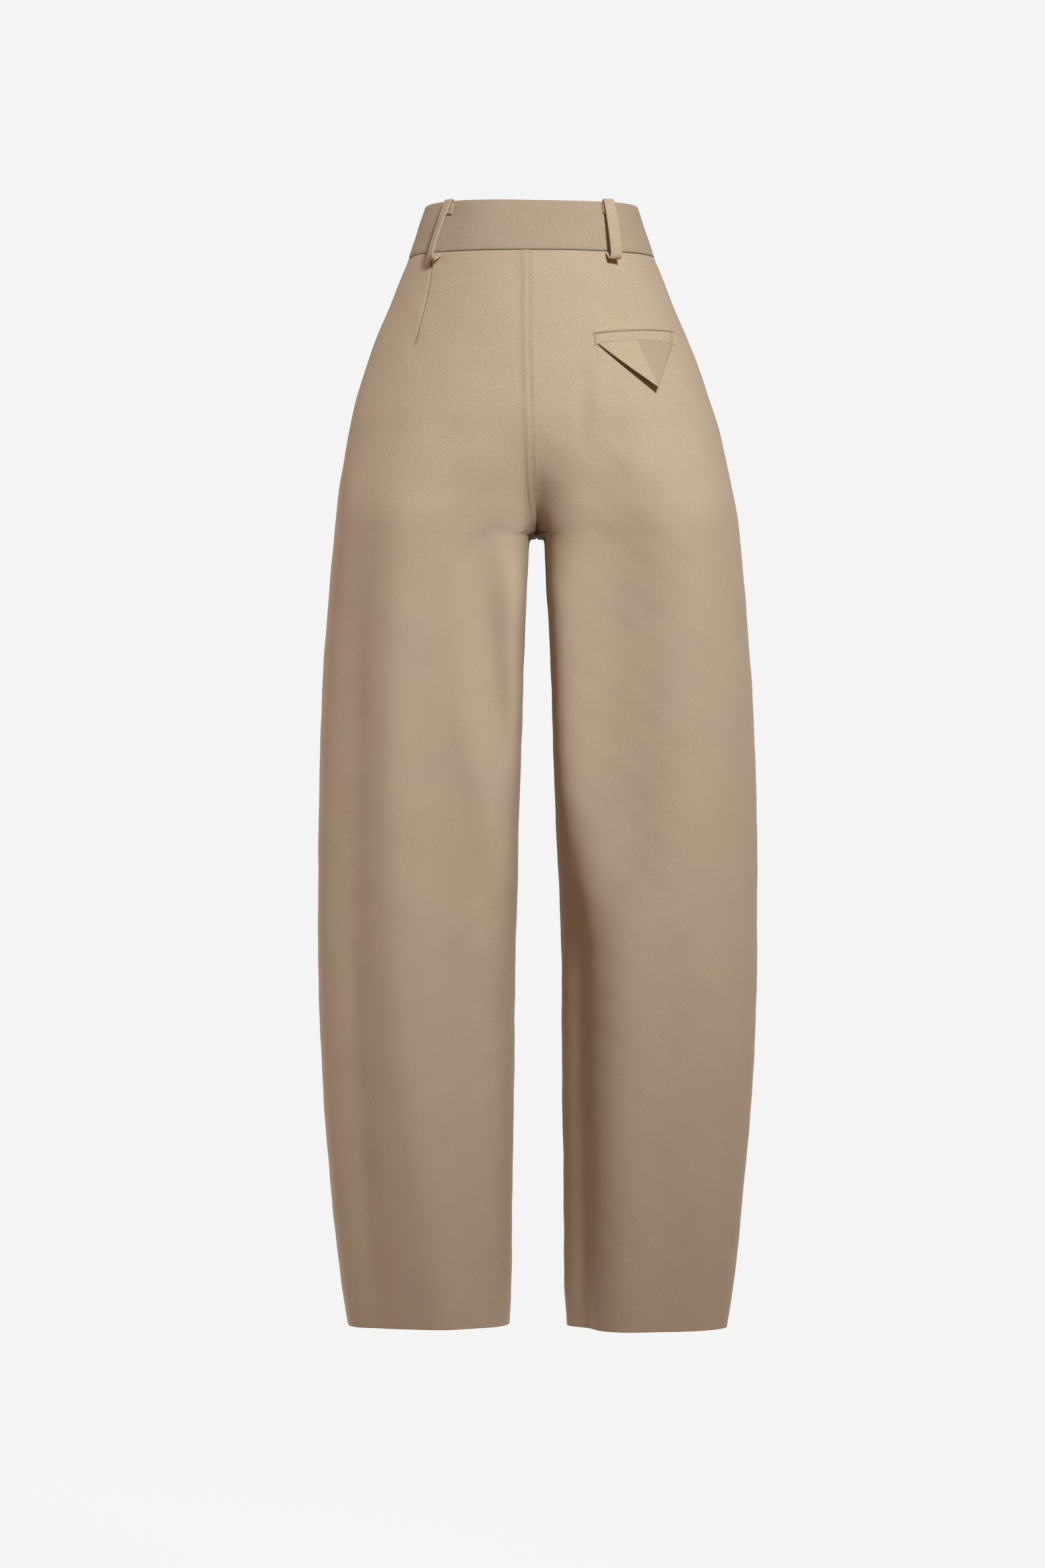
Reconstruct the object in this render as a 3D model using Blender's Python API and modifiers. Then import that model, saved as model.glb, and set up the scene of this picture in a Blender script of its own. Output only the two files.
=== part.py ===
"""Barrel leg trousers in the shape they keep when worn, with no wearer inside.

Metres, +Z up. The origin is the middle of the waistband, where the waist holds the garment.
The wearer faces -Y, so the back is +Y and the wearer's left is +X.
A level is given by its drop: how far it lies below the origin.
"""

import functools
import math

import bmesh
import bpy
import numpy as np
from mathutils import Matrix, Vector

# Driving sizes
BAND_HEIGHT = 0.050
CROTCH_DROP = 0.300
HEM_DROP = 1.079
CLOTH = 0.0015
BAND_CLOTH = 0.0026
TRIM_CLOTH = 0.0014
SEAM_GAP, SIDE_GAP = 0.0003, 0.0006

LEFT, RIGHT = 1, -1
BACK, FRONT = 1, -1

# Half sections of the garment. outer: side seam from the middle line. inner: inseam from the middle
# line, negative where the two legs are one body. back, front: reach from the side seam's plane.
# sway: how far the middle line hangs to the wearer's right. square: 2 is an ellipse, 3 is boxy.
SECTION_COLUMNS = ("drop", "outer", "inner", "back", "front", "sway", "square")
SECTIONS = (
    (-0.0250, 0.1045, -0.2000, 0.0865, 0.0855, 0.0000, 2.30),
    (0.0250, 0.1212, -0.1750, 0.0985, 0.0965, 0.0000, 2.30),
    (0.0461, 0.1297, -0.1600, 0.1040, 0.1000, 0.0000, 2.30),
    (0.0725, 0.1403, -0.1430, 0.1100, 0.1030, 0.0000, 2.30),
    (0.0989, 0.1515, -0.1260, 0.1155, 0.1052, 0.0000, 2.30),
    (0.1253, 0.1617, -0.1090, 0.1200, 0.1066, -0.0004, 2.40),
    (0.1517, 0.1706, -0.0920, 0.1238, 0.1076, -0.0010, 2.55),
    (0.1913, 0.1818, -0.0665, 0.1275, 0.1085, -0.0022, 2.80),
    (0.2309, 0.1898, -0.0410, 0.1280, 0.1086, -0.0034, 2.95),
    (0.2705, 0.1967, -0.0155, 0.1255, 0.1076, -0.0046, 2.80),
    (0.2900, 0.1993, -0.0050, 0.1225, 0.1066, -0.0051, 2.60),
    (0.3000, 0.2004, 0.0000, 0.1208, 0.1060, -0.0053, 2.50),
    (0.3030, 0.2008, 0.0046, 0.1204, 0.1058, -0.0053, 2.50),
    (0.3100, 0.2014, 0.0072, 0.1194, 0.1055, -0.0053, 2.48),
    (0.3497, 0.2049, 0.0096, 0.1150, 0.1038, -0.0053, 2.42),
    (0.4025, 0.2092, 0.0125, 0.1105, 0.1015, -0.0055, 2.38),
    (0.4553, 0.2129, 0.0142, 0.1070, 0.1000, -0.0058, 2.35),
    (0.5345, 0.2158, 0.0165, 0.1030, 0.0978, -0.0060, 2.35),
    (0.6137, 0.2171, 0.0191, 0.0990, 0.0955, -0.0062, 2.38),
    (0.7193, 0.2171, 0.0221, 0.0940, 0.0925, -0.0062, 2.45),
    (0.8249, 0.2135, 0.0231, 0.0885, 0.0880, -0.0061, 2.52),
    (0.9305, 0.2053, 0.0248, 0.0830, 0.0833, -0.0059, 2.60),
    (1.0361, 0.1944, 0.0257, 0.0775, 0.0780, -0.0060, 2.70),
    (1.0790, 0.1874, 0.0280, 0.0755, 0.0760, -0.0062, 2.75),
)
BODY_BLEND = (0.004, 0.105)  # heights above the crotch where two legs turn into one smooth body

# A valley along the lower seat seam: where it starts and is deepest, its depth and its width
VALLEY_TOP, VALLEY_DEEP, VALLEY_DEPTH, VALLEY_WIDTH = 0.165, 0.285, 0.0040, 0.022

# Soft folds of the hanging cloth. Angles run round a leg: 0 is the side seam, 90 the middle of the
# back, 180 the inseam, and negative ones are on the front. height: ridge above 0, trough below.
FOLD_COLUMNS = ("leg", "top", "bottom", "angle_top", "angle_middle", "angle_bottom", "height", "spread")
FOLDS = (
    (LEFT, 0.100, 1.500, 76, 83, 88, 0.0050, 21),
    (LEFT, 0.130, 1.450, 46, 52, 58, -0.0045, 17),
    (LEFT, 0.240, 0.680, 88, 120, 154, -0.0065, 17),
    (LEFT, 0.500, 1.400, 26, 30, 30, 0.0025, 15),
    (LEFT, 0.700, 1.450, 128, 124, 128, -0.0025, 18),
    (RIGHT, 0.170, 0.700, 112, 116, 124, -0.0050, 20),
    (RIGHT, 0.150, 0.860, 70, 80, 104, 0.0050, 20),
    (RIGHT, 0.460, 0.740, 84, 106, 140, -0.0035, 16),
    (RIGHT, 0.560, 1.500, 112, 108, 100, 0.0060, 20),
    (RIGHT, 0.480, 1.450, 150, 148, 140, -0.0055, 18),
    (RIGHT, 0.420, 1.300, 34, 40, 42, -0.0025, 16),
    (LEFT, 0.200, 1.450, -78, -86, -94, 0.0045, 21),
    (LEFT, 0.280, 1.400, -124, -130, -134, -0.0045, 19),
    (LEFT, 0.180, 1.000, -42, -48, -54, -0.0035, 17),
    (RIGHT, 0.180, 1.450, -82, -90, -96, 0.0045, 21),
    (RIGHT, 0.300, 1.350, -128, -134, -130, -0.0040, 19),
    (RIGHT, 0.220, 1.100, -44, -50, -48, -0.0035, 17),
)
FOLD_FADE = 0.30  # share of a fold's length over which each end dies away
MIDDLE_FADE = 0.040  # folds die away this close to the seat seam and the front seam

# Grid of a panel: rows are levels, columns are distances along the cloth from the inner seam
BODY_ROWS, LEG_ROWS, ROW_CROWDING = 13, 18, 1.35
CROTCH_ROWS = (0.003, 0.010)
SEAM_COLUMNS = (0.0, 0.0042, 0.0080, 0.0088)
BACK_COLUMNS_TO_DART, BACK_COLUMNS_PAST_DART, FRONT_COLUMNS = 5, 4, 11
CURVE_SAMPLES = 241
CROTCH_PULL = 5

# Seat seam: a felled strip on the wearer's left back, seen as a low ridge
FELL_RISE = 0.0005

# Back darts, from the waist seam to their points
DART_TOP_X, DART_POINT_X, DART_POINT_DROP = 0.0969, 0.1141, 0.1164
DART_DEPTH, DART_HALF_WIDTH = 0.0011, 0.0022

# Fly: the wearer's right front laps over the left one
FLY_LAST_ROW, FLY_LAP, FLY_SHIFT, FLY_FLAT = 6, 0.0040, 0.016, 0.022
FLY_RISE = CLOTH + 0.0009
ZIP_CLEARANCE = 0.0007
UNDERLAP, UNDERLAP_BLEND = 0.038, 0.024
BAND_PROUD = 0.0005
BAND_COLUMN = 0.014

# Belt loops: where each sits, and its outline from the side, as clearance from the band and height
LOOP_WIDTH, LOOP_CLOTH = 0.0100, 0.0016
LOOP_COLUMNS = ("name", "side", "face", "x", "turn")
LOOPS = (
    ("loop_back_left", LEFT, BACK, 0.0840, -24.0),
    ("loop_back_right", RIGHT, BACK, 0.0750, -20.0),
    ("loop_front_left", LEFT, FRONT, 0.0750, 0.0),
    ("loop_front_right", RIGHT, FRONT, 0.0750, 0.0),
)
LOOP_OUTLINE_COLUMNS = ("clear", "height")
LOOP_OUTLINE = (
    (-0.0003, -0.0272),
    (0.0018, -0.0305),
    (0.0058, -0.0328),
    (0.0092, -0.0300),
    (0.0104, -0.0230),
    (0.0098, -0.0100),
    (0.0080, 0.0060),
    (0.0056, 0.0190),
    (0.0040, 0.0248),
    (0.0024, 0.0262),
    (0.0008, 0.0246),
    (0.0004, 0.0190),
    (0.0001, 0.0125),
)
LOOP_STEPS = 26

# Back pocket on the wearer's right: a welt, and a pointed flap that hangs from under it. Each edge
# of the welt goes by its drop at the inner end and its drop at the outer end, and a rise in between.
WELT_INNER_X, WELT_OUTER_X = 0.0605, 0.1380
WELT_TOP_DROPS, WELT_LOW_DROPS, WELT_LOW_RISE = (0.1080, 0.1020), (0.1192, 0.1150), 0.0035
FLAP_INNER_X, FLAP_OUTER_X, FLAP_FOLD_X, FLAP_POINT_X = 0.0640, 0.1375, 0.1037, 0.1221
FLAP_POINT_DROP, FLAP_LIFT, FLAP_TIP = 0.1630, 0.0080, 0.97
WELT_COLUMNS, FLAP_COLUMNS, FLAP_ROWS = 12, 4, 6

# Button on the underlap, seen through the lap's buttonhole
BUTTON_X, BUTTON_RADIUS, BUTTON_HEIGHT, BUTTON_DISH = -0.0105, 0.0085, 0.0032, 0.0008
BUTTON_HOLE_RADIUS, BUTTON_HOLE_RING, BUTTON_SEAT = 0.0009, 0.0021, 0.0006

# Zip behind the fly, closed
ZIP_X, ZIP_HALF_TAPE, ZIP_HALF_CHAIN = -0.0048, 0.0120, 0.0026
ZIP_TOP, ZIP_BOTTOM, ZIP_TAPE, ZIP_CHAIN_RISE, ZIP_ROWS = 0.0275, 0.200, 0.0008, 0.0005, 16
SLIDER_WIDTH, SLIDER_LENGTH, SLIDER_THICKNESS, PULL_WIDTH, PULL_LENGTH = 0.0064, 0.0090, 0.0008, 0.0036, 0.0200

KHAKI = (0.485, 0.375, 0.270, 1.0)
HORN = (0.330, 0.235, 0.150, 1.0)
TAPE = (0.420, 0.320, 0.225, 1.0)
METAL = (0.560, 0.530, 0.480, 1.0)


def smoothstep(value):
    t = min(max(value, 0.0), 1.0)
    return t * t * (3 - 2 * t)


def monotone_slopes(knots, values):
    """Slopes of a curve through the knots that never overshoots between them."""
    steps = np.diff(knots)
    rises = np.diff(values) / steps
    slopes = np.empty(len(knots))
    slopes[0], slopes[-1] = rises[0], rises[-1]
    for i in range(1, len(knots) - 1):
        before, after = rises[i - 1], rises[i]
        if before * after <= 0:
            slopes[i] = 0.0
            continue
        w1 = 2 * steps[i] + steps[i - 1]
        w2 = steps[i] + 2 * steps[i - 1]
        slopes[i] = (w1 + w2) / (w1 / before + w2 / after)
    return slopes


def column_curve(rows, names, name):
    """A smooth function of the drop through one column of a table."""
    table = np.array(rows, float)
    knots, values = table[:, 0], table[:, names.index(name)]
    slopes = monotone_slopes(knots, values)

    def value(drop):
        i = int(np.clip(np.searchsorted(knots, drop) - 1, 0, len(knots) - 2))
        step = knots[i + 1] - knots[i]
        t = (drop - knots[i]) / step
        return (
            values[i] * (1 + 2 * t) * (1 - t) ** 2
            + slopes[i] * step * t * (1 - t) ** 2
            + values[i + 1] * t * t * (3 - 2 * t)
            + slopes[i + 1] * step * t * t * (t - 1)
        )

    return value


SECTION = {name: column_curve(SECTIONS, SECTION_COLUMNS, name) for name in SECTION_COLUMNS[1:]}


def fold_height(side, drop, angle):
    """How far the cloth stands out at an angle round a leg, from all the folds there."""
    total = np.zeros_like(angle)
    for row in FOLDS:
        fold = dict(zip(FOLD_COLUMNS, row))
        along = (drop - fold["top"]) / (fold["bottom"] - fold["top"])
        if fold["leg"] != side or not 0 < along < 1:
            continue
        centre = (
            fold["angle_top"] * (1 - along) * (1 - 2 * along)
            + fold["angle_middle"] * 4 * along * (1 - along)
            + fold["angle_bottom"] * along * (2 * along - 1)
        )
        ends = smoothstep(along / FOLD_FADE) * smoothstep((1 - along) / FOLD_FADE)
        away = (angle - centre + 180) % 360 - 180
        total += fold["height"] * ends * np.exp(-((away / fold["spread"]) ** 2))
    return total


@functools.lru_cache(maxsize=None)
def half_section(side, face, drop):
    """The outer line of one panel at one level, from its inner seam to its side seam.

    Returns its points and their distances along the cloth. Where the legs are apart it is half of
    one leg. Above the crotch the legs run into each other at the middle line, and higher up they
    blend into a single rounded body.
    """
    at = {name: curve(drop) for name, curve in SECTION.items()}
    depth = at["back"] if face == BACK else at["front"]
    power = 2 / at["square"]
    middle, half = (at["outer"] + at["inner"]) / 2, (at["outer"] - at["inner"]) / 2
    start = math.pi if at["inner"] >= 0 else math.acos(-((max(middle, 0) / half) ** (1 / power)))
    pull = min(CROTCH_PULL, start / max(math.pi - start, 0.01))
    from_side = np.linspace(1, 0, CURVE_SAMPLES)
    angle = math.pi * from_side - (math.pi - start) * from_side**pull
    cosine, sine = np.cos(angle), np.abs(np.sin(angle))
    x = middle + half * np.sign(cosine) * np.abs(cosine) ** power
    y = depth * sine**power
    above = CROTCH_DROP - drop
    low, high = BODY_BLEND
    body = smoothstep((above - low) / (high - low))
    if body > 0:
        quarter = math.pi / 2 * angle / start
        x = x * (1 - body) + body * at["outer"] * np.maximum(np.cos(quarter), 0) ** power
        y = y * (1 - body) + body * depth * np.sin(quarter) ** power
    if face == BACK and at["inner"] < 0:
        deep = smoothstep((drop - VALLEY_TOP) / (VALLEY_DEEP - VALLEY_TOP)) * smoothstep(above / 0.02)
        y = y - VALLEY_DEPTH * deep * np.exp(-((x / VALLEY_WIDTH) ** 2))
    inner = max(at["inner"], 0.0)
    across = np.clip((x - inner) / (at["outer"] - inner), 0, 1)
    rise = fold_height(side, drop, np.degrees(np.arccos(2 * across - 1)) * face)
    near_middle = np.array([1 - smoothstep(value / MIDDLE_FADE) for value in x])
    rise = rise * (1 - near_middle * smoothstep(above / 0.03))
    along_x, along_y = np.gradient(x), np.gradient(y)
    length = np.hypot(along_x, along_y)
    out_x, out_y = -along_y / length, along_x / length
    out_x[-1], out_y[-1] = 1.0, 0.0
    if at["inner"] >= 0:
        out_x[0], out_y[0] = -1.0, 0.0
    x = np.maximum(x + out_x * rise, SEAM_GAP / 2)
    y = np.maximum(y + out_y * rise, 0) + SIDE_GAP / 2
    points = np.stack([side * x + at["sway"], face * y, np.full_like(x, -drop)], axis=1)
    distance = np.concatenate([[0], np.cumsum(np.linalg.norm(np.diff(points, axis=0), axis=1))])
    return points, distance


def at_distance(side, face, drop, distance):
    """The point of a panel's outer face at a distance along the cloth from its inner seam."""
    points, along = half_section(side, face, drop)
    return Vector([float(np.interp(distance, along, points[:, i])) for i in range(3)])


def distance_at_x(side, face, drop, x):
    """Distance along the cloth from the inner seam to where the panel is x from the middle line."""
    points, along = half_section(side, face, drop)
    off = side * (points[:, 0] - SECTION["sway"](drop))
    first = int(np.argmin(off))
    return float(np.interp(x, off[first:], along[first:]))


def outward(side, face, drop, distance):
    """Unit normal of a panel's outer face, away from the body."""
    step = 0.002
    across = at_distance(side, face, drop, distance + step) - at_distance(side, face, drop, max(distance - step, 0))
    down = at_distance(side, face, drop + step, distance) - at_distance(side, face, drop - step, distance)
    normal = across.cross(down).normalized()
    return normal if normal.y * face > 0 or abs(normal.y) < 0.05 and normal.x * side > 0 else -normal


def raised(side, face, drop, distance, offset):
    """A point of a panel's outer face, moved out by an offset, or in where it is negative."""
    point = at_distance(side, face, drop, distance)
    return point + outward(side, face, drop, distance) * offset


def panel_levels():
    """Drops of a panel's rows from the waist seam to the hem, closer together near the crotch."""
    top = BAND_HEIGHT / 2 + SEAM_GAP
    body = [
        CROTCH_DROP - (CROTCH_DROP - top) * (k / BODY_ROWS) ** ROW_CROWDING
        for k in range(BODY_ROWS, -1, -1)
    ]
    crotch = [CROTCH_DROP + below for below in CROTCH_ROWS]
    leg = [
        crotch[-1] + (HEM_DROP - crotch[-1]) * (k / LEG_ROWS) ** ROW_CROWDING
        for k in range(1, LEG_ROWS + 1)
    ]
    return body + crotch + leg


def dart_x(drop):
    """How far a back dart lies from the middle line. Below its point the line runs on down the leg."""
    top = BAND_HEIGHT / 2
    return DART_TOP_X + (DART_POINT_X - DART_TOP_X) * smoothstep((drop - top) / (DART_POINT_DROP - top) * 0.5) * 2


def dart_depth(drop):
    """Depth of the dart's groove, which fades out just past its point."""
    return DART_DEPTH * (1 - smoothstep((drop - DART_POINT_DROP) / 0.006))


def panel_distances(side, face, drop):
    """Where a panel's columns lie at one level: some beside its inner seam, a dart's three on the
    back, and the rest spread evenly round the leg."""
    along = half_section(side, face, drop)[1]
    spread = 1 + 2.5 * smoothstep((drop - CROTCH_DROP) / 0.3)
    near = [distance * spread for distance in SEAM_COLUMNS]

    def evenly(count):
        shares = np.linspace(0, 1, count + 1)[1:]
        return [float(np.interp(share, np.linspace(0, 1, CURVE_SAMPLES), along)) for share in shares]

    if face == FRONT:
        return near + [max(d, near[-1] + 0.004 * (i + 1)) for i, d in enumerate(evenly(FRONT_COLUMNS))]
    columns = BACK_COLUMNS_TO_DART + BACK_COLUMNS_PAST_DART
    even = evenly(columns)
    in_body = 1 - smoothstep((drop - DART_POINT_DROP) / 0.15)
    dart = even[BACK_COLUMNS_TO_DART - 1]
    if in_body > 0:
        dart += (distance_at_x(side, face, drop, dart_x(drop)) - dart) * in_body
    beside = DART_HALF_WIDTH + 0.010 * (1 - in_body)
    before = list(np.linspace(near[-1], dart - beside, BACK_COLUMNS_TO_DART + 1)[1:])
    after = list(np.linspace(dart + beside, along[-1], BACK_COLUMNS_PAST_DART + 1))
    return near + before + [dart] + after


def fly_rise(distance):
    """How far the lapping cloth stands out over the other, by its distance from the middle line."""
    return FLY_RISE * (1 - smoothstep((distance - FLY_FLAT) / (UNDERLAP - FLY_FLAT)))


def lapped_point(drop, distance, lap, rise):
    """A point of the right front where it laps over the left one. The cloth there is shifted over the
    middle line, and stands out over the other cloth. lap and rise are 1, or 0 below the fly."""
    shift = lap * FLY_LAP * (1 - smoothstep(distance / FLY_SHIFT))
    moved = distance - shift
    offset = fly_rise(moved) * rise
    if moved >= 0:
        return raised(RIGHT, FRONT, drop, moved, offset)
    return raised(LEFT, FRONT, drop, -moved, offset)


def link(obj, collection, material):
    collection.objects.link(obj)
    obj.data.materials.clear()
    obj.data.materials.append(material)
    return obj


def sheet_mesh(name, grid):
    """An open surface through a grid of points: a list of rows, each a list of points."""
    mesh = bmesh.new()
    corners = [[mesh.verts.new(point) for point in row] for row in grid]
    for upper, lower in zip(corners, corners[1:]):
        for i in range(len(upper) - 1):
            mesh.faces.new((upper[i], upper[i + 1], lower[i + 1], lower[i]))
    bmesh.ops.recalc_face_normals(mesh, faces=mesh.faces)
    data = bpy.data.meshes.new(name)
    mesh.to_mesh(data)
    mesh.free()
    return data


def cloth(name, grid, thickness, outside, collection, material):
    """A wall of cloth whose outer face is the grid. outside is a direction that this face looks."""
    data = sheet_mesh(name, grid)
    middle = data.polygons[len(data.polygons) // 2]
    if middle.normal.dot(outside) < 0:
        data.flip_normals()
    data.shade_smooth()
    obj = link(bpy.data.objects.new(name, data), collection, material)
    wall = obj.modifiers.new("Wall", "SOLIDIFY")
    wall.thickness = thickness
    wall.offset = -1.0
    wall.use_rim = True
    return obj


def build_panel(name, side, face, collection, material):
    """One of the four leg panels, from the waist seam to the hem."""
    grid = []
    for level, drop in enumerate(panel_levels()):
        row = []
        for column, distance in enumerate(panel_distances(side, face, drop)):
            if side == RIGHT and face == FRONT and level <= FLY_LAST_ROW + 1:
                lap = 1 if level <= FLY_LAST_ROW else 0
                row.append(lapped_point(drop, distance, lap, 1))
                continue
            point = at_distance(side, face, drop, distance)
            if side == LEFT and face == BACK and column < len(SEAM_COLUMNS) - 1:
                rise = FELL_RISE * (1 - smoothstep((drop - CROTCH_DROP + 0.05) / 0.04))
                point += Vector((0, rise, 0))
            if face == BACK and column == len(SEAM_COLUMNS) + BACK_COLUMNS_TO_DART:
                point -= outward(side, face, drop, distance) * dart_depth(drop)
            row.append(point)
        grid.append(row)
    return cloth(name, grid, CLOTH, Vector((0, face, 0)), collection, material)


def band_path(drop):
    """The waistband's outer line at one level, from the underlap's end right round to the lap's end."""
    path = []

    def run(side, face, first, last, offset_of):
        count = max(2, round(abs(last - first) / BAND_COLUMN))
        for distance in np.linspace(first, last, count + 1)[(1 if path else 0) :]:
            offset = BAND_PROUD + offset_of(distance)
            if distance <= 1e-6 and side == LEFT and face == BACK:
                continue
            path.append(raised(side, face, drop, distance, offset))

    def under(distance):
        return fly_rise(distance) - BAND_CLOTH - SEAM_GAP

    def beyond(distance):
        away = smoothstep((distance - FLY_LAP - 0.002) / UNDERLAP_BLEND)
        return (FLY_RISE - BAND_CLOTH - SEAM_GAP) * (1 - away)

    def plain(distance):
        return 0.0

    def lap_end(distance):
        return FLY_RISE

    quarter = {(s, f): half_section(s, f, drop)[1][-1] for s in (LEFT, RIGHT) for f in (BACK, FRONT)}
    run(RIGHT, FRONT, UNDERLAP, 0.0, under)
    run(LEFT, FRONT, 0.0, FLY_LAP + UNDERLAP_BLEND + 0.004, beyond)
    run(LEFT, FRONT, FLY_LAP + UNDERLAP_BLEND + 0.004, quarter[LEFT, FRONT], plain)
    run(LEFT, BACK, quarter[LEFT, BACK], 0.0, plain)
    run(RIGHT, BACK, 0.0, quarter[RIGHT, BACK], plain)
    run(RIGHT, FRONT, quarter[RIGHT, FRONT], UNDERLAP, plain)
    run(RIGHT, FRONT, UNDERLAP, 0.0, fly_rise)
    run(LEFT, FRONT, 0.0, FLY_LAP, lap_end)
    return path


def build_band(collection, material):
    """The waistband: one strip, closed at the front with its right end over its left one."""
    half = BAND_HEIGHT / 2
    grid = [band_path(drop) for drop in (-half, 0.0, half - SEAM_GAP)]
    data = sheet_mesh("waistband", grid)
    back = max(data.polygons, key=lambda face: face.center.y)
    if back.normal.y < 0:
        data.flip_normals()
    data.shade_smooth()
    obj = link(bpy.data.objects.new("waistband", data), collection, material)
    wall = obj.modifiers.new("Wall", "SOLIDIFY")
    wall.thickness, wall.offset = BAND_CLOTH, -1.0
    return obj


def smooth_path(points, steps):
    """Points along a Catmull-Rom curve through the given ones, evenly spaced by its parameter."""
    p = np.array([points[0], *points, points[-1]], float)
    found = []
    for u in np.linspace(0, len(points) - 1, steps + 1):
        i = min(int(u), len(points) - 2)
        t = u - i
        a, b, c, d = p[i : i + 4]
        found.append(
            0.5 * (2 * b + (c - a) * t + (2 * a - 5 * b + 4 * c - d) * t**2 + (3 * b - a - 3 * c + d) * t**3)
        )
    return found


def build_loop(row, collection, material):
    """A belt loop: a tape sewn into the waist seam, bent up, and folded under at the band's top."""
    loop = dict(zip(LOOP_COLUMNS, row))
    side, face = loop["side"], loop["face"]
    path = smooth_path(LOOP_OUTLINE, LOOP_STEPS)
    highest_clear = max(clear for clear, _ in LOOP_OUTLINE)
    seat = distance_at_x(side, face, 0.0, loop["x"])
    facing = outward(side, face, 0.0, seat)
    facing.z = 0
    facing.normalize()
    grid = []
    for clear, height in path:
        drop = -height
        distance = distance_at_x(side, face, drop, loop["x"] * SECTION["outer"](drop) / SECTION["outer"](0.0))
        base = at_distance(side, face, min(drop, BAND_HEIGHT), distance)
        centre = base + facing * (BAND_PROUD + SEAM_GAP + LOOP_CLOTH / 2 + clear)
        turn = math.radians(loop["turn"]) * smoothstep(clear / highest_clear)
        across = Matrix.Rotation(math.pi / 2 + turn, 3, "Z") @ facing
        grid.append([centre + across * LOOP_WIDTH / 2, centre - across * LOOP_WIDTH / 2])
    data = sheet_mesh(loop["name"], grid)
    data.shade_smooth()
    obj = link(bpy.data.objects.new(loop["name"], data), collection, material)
    wall = obj.modifiers.new("Wall", "SOLIDIFY")
    wall.thickness, wall.offset = LOOP_CLOTH, 0.0
    return obj


def welt_edge(x, lower):
    """Drop of the welt's upper or lower edge. The lower one rises in the middle, over the flap."""
    share = (x - WELT_INNER_X) / (WELT_OUTER_X - WELT_INNER_X)
    inner, outer = WELT_LOW_DROPS if lower else WELT_TOP_DROPS
    rise = WELT_LOW_RISE * 4 * share * (1 - share) if lower else 0.0
    return inner + (outer - inner) * share - rise


def on_right_back(x, drop, offset):
    """A point above the right back panel, by its distance from the middle line and its drop."""
    distance = distance_at_x(RIGHT, BACK, drop, x)
    return raised(RIGHT, BACK, drop, distance, offset)


def build_welt(collection, material):
    """The pocket's welt, a narrow folded strip on the right back."""
    offset = SEAM_GAP + TRIM_CLOTH
    grid = []
    for share in (0.0, 0.5, 1.0):
        row = []
        for x in np.linspace(WELT_INNER_X, WELT_OUTER_X, WELT_COLUMNS + 1):
            drop = welt_edge(x, False) * (1 - share) + welt_edge(x, True) * share
            row.append(on_right_back(x, drop, offset))
        grid.append(row)
    return cloth("pocket_welt", grid, TRIM_CLOTH, Vector((-0.5, 1, 0)), collection, material)


def build_flap(collection, material):
    """The pointed flap: two folded triangles that meet in a ridge and stand off the seat at the point."""
    grid = []
    for step in range(FLAP_ROWS + 1):
        share = FLAP_TIP * step / FLAP_ROWS
        row = []
        corners = [
            *np.linspace(FLAP_INNER_X, FLAP_FOLD_X, FLAP_COLUMNS + 1),
            *np.linspace(FLAP_FOLD_X, FLAP_OUTER_X, FLAP_COLUMNS + 1)[1:],
        ]
        for top_x in corners:
            top_drop = welt_edge(top_x, True) + SEAM_GAP
            x = top_x + (FLAP_POINT_X - top_x) * share
            drop = top_drop + (FLAP_POINT_DROP - top_drop) * share
            to_outer = max(0.0, (top_x - FLAP_FOLD_X) / (FLAP_OUTER_X - FLAP_FOLD_X))
            lift = FLAP_LIFT * share**1.4 * (1 - 0.55 * to_outer * (1 - share))
            row.append(on_right_back(x, drop, SEAM_GAP + TRIM_CLOTH + lift))
        grid.append(row)
    return cloth("pocket_flap", grid, TRIM_CLOTH, Vector((-0.5, 1, 0)), collection, material)


def mesh_object(name, maker, collection, material):
    """An object whose mesh the maker fills in a bmesh."""
    mesh = bmesh.new()
    maker(mesh)
    data = bpy.data.meshes.new(name)
    mesh.to_mesh(data)
    mesh.free()
    return link(bpy.data.objects.new(name, data), collection, material)


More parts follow.
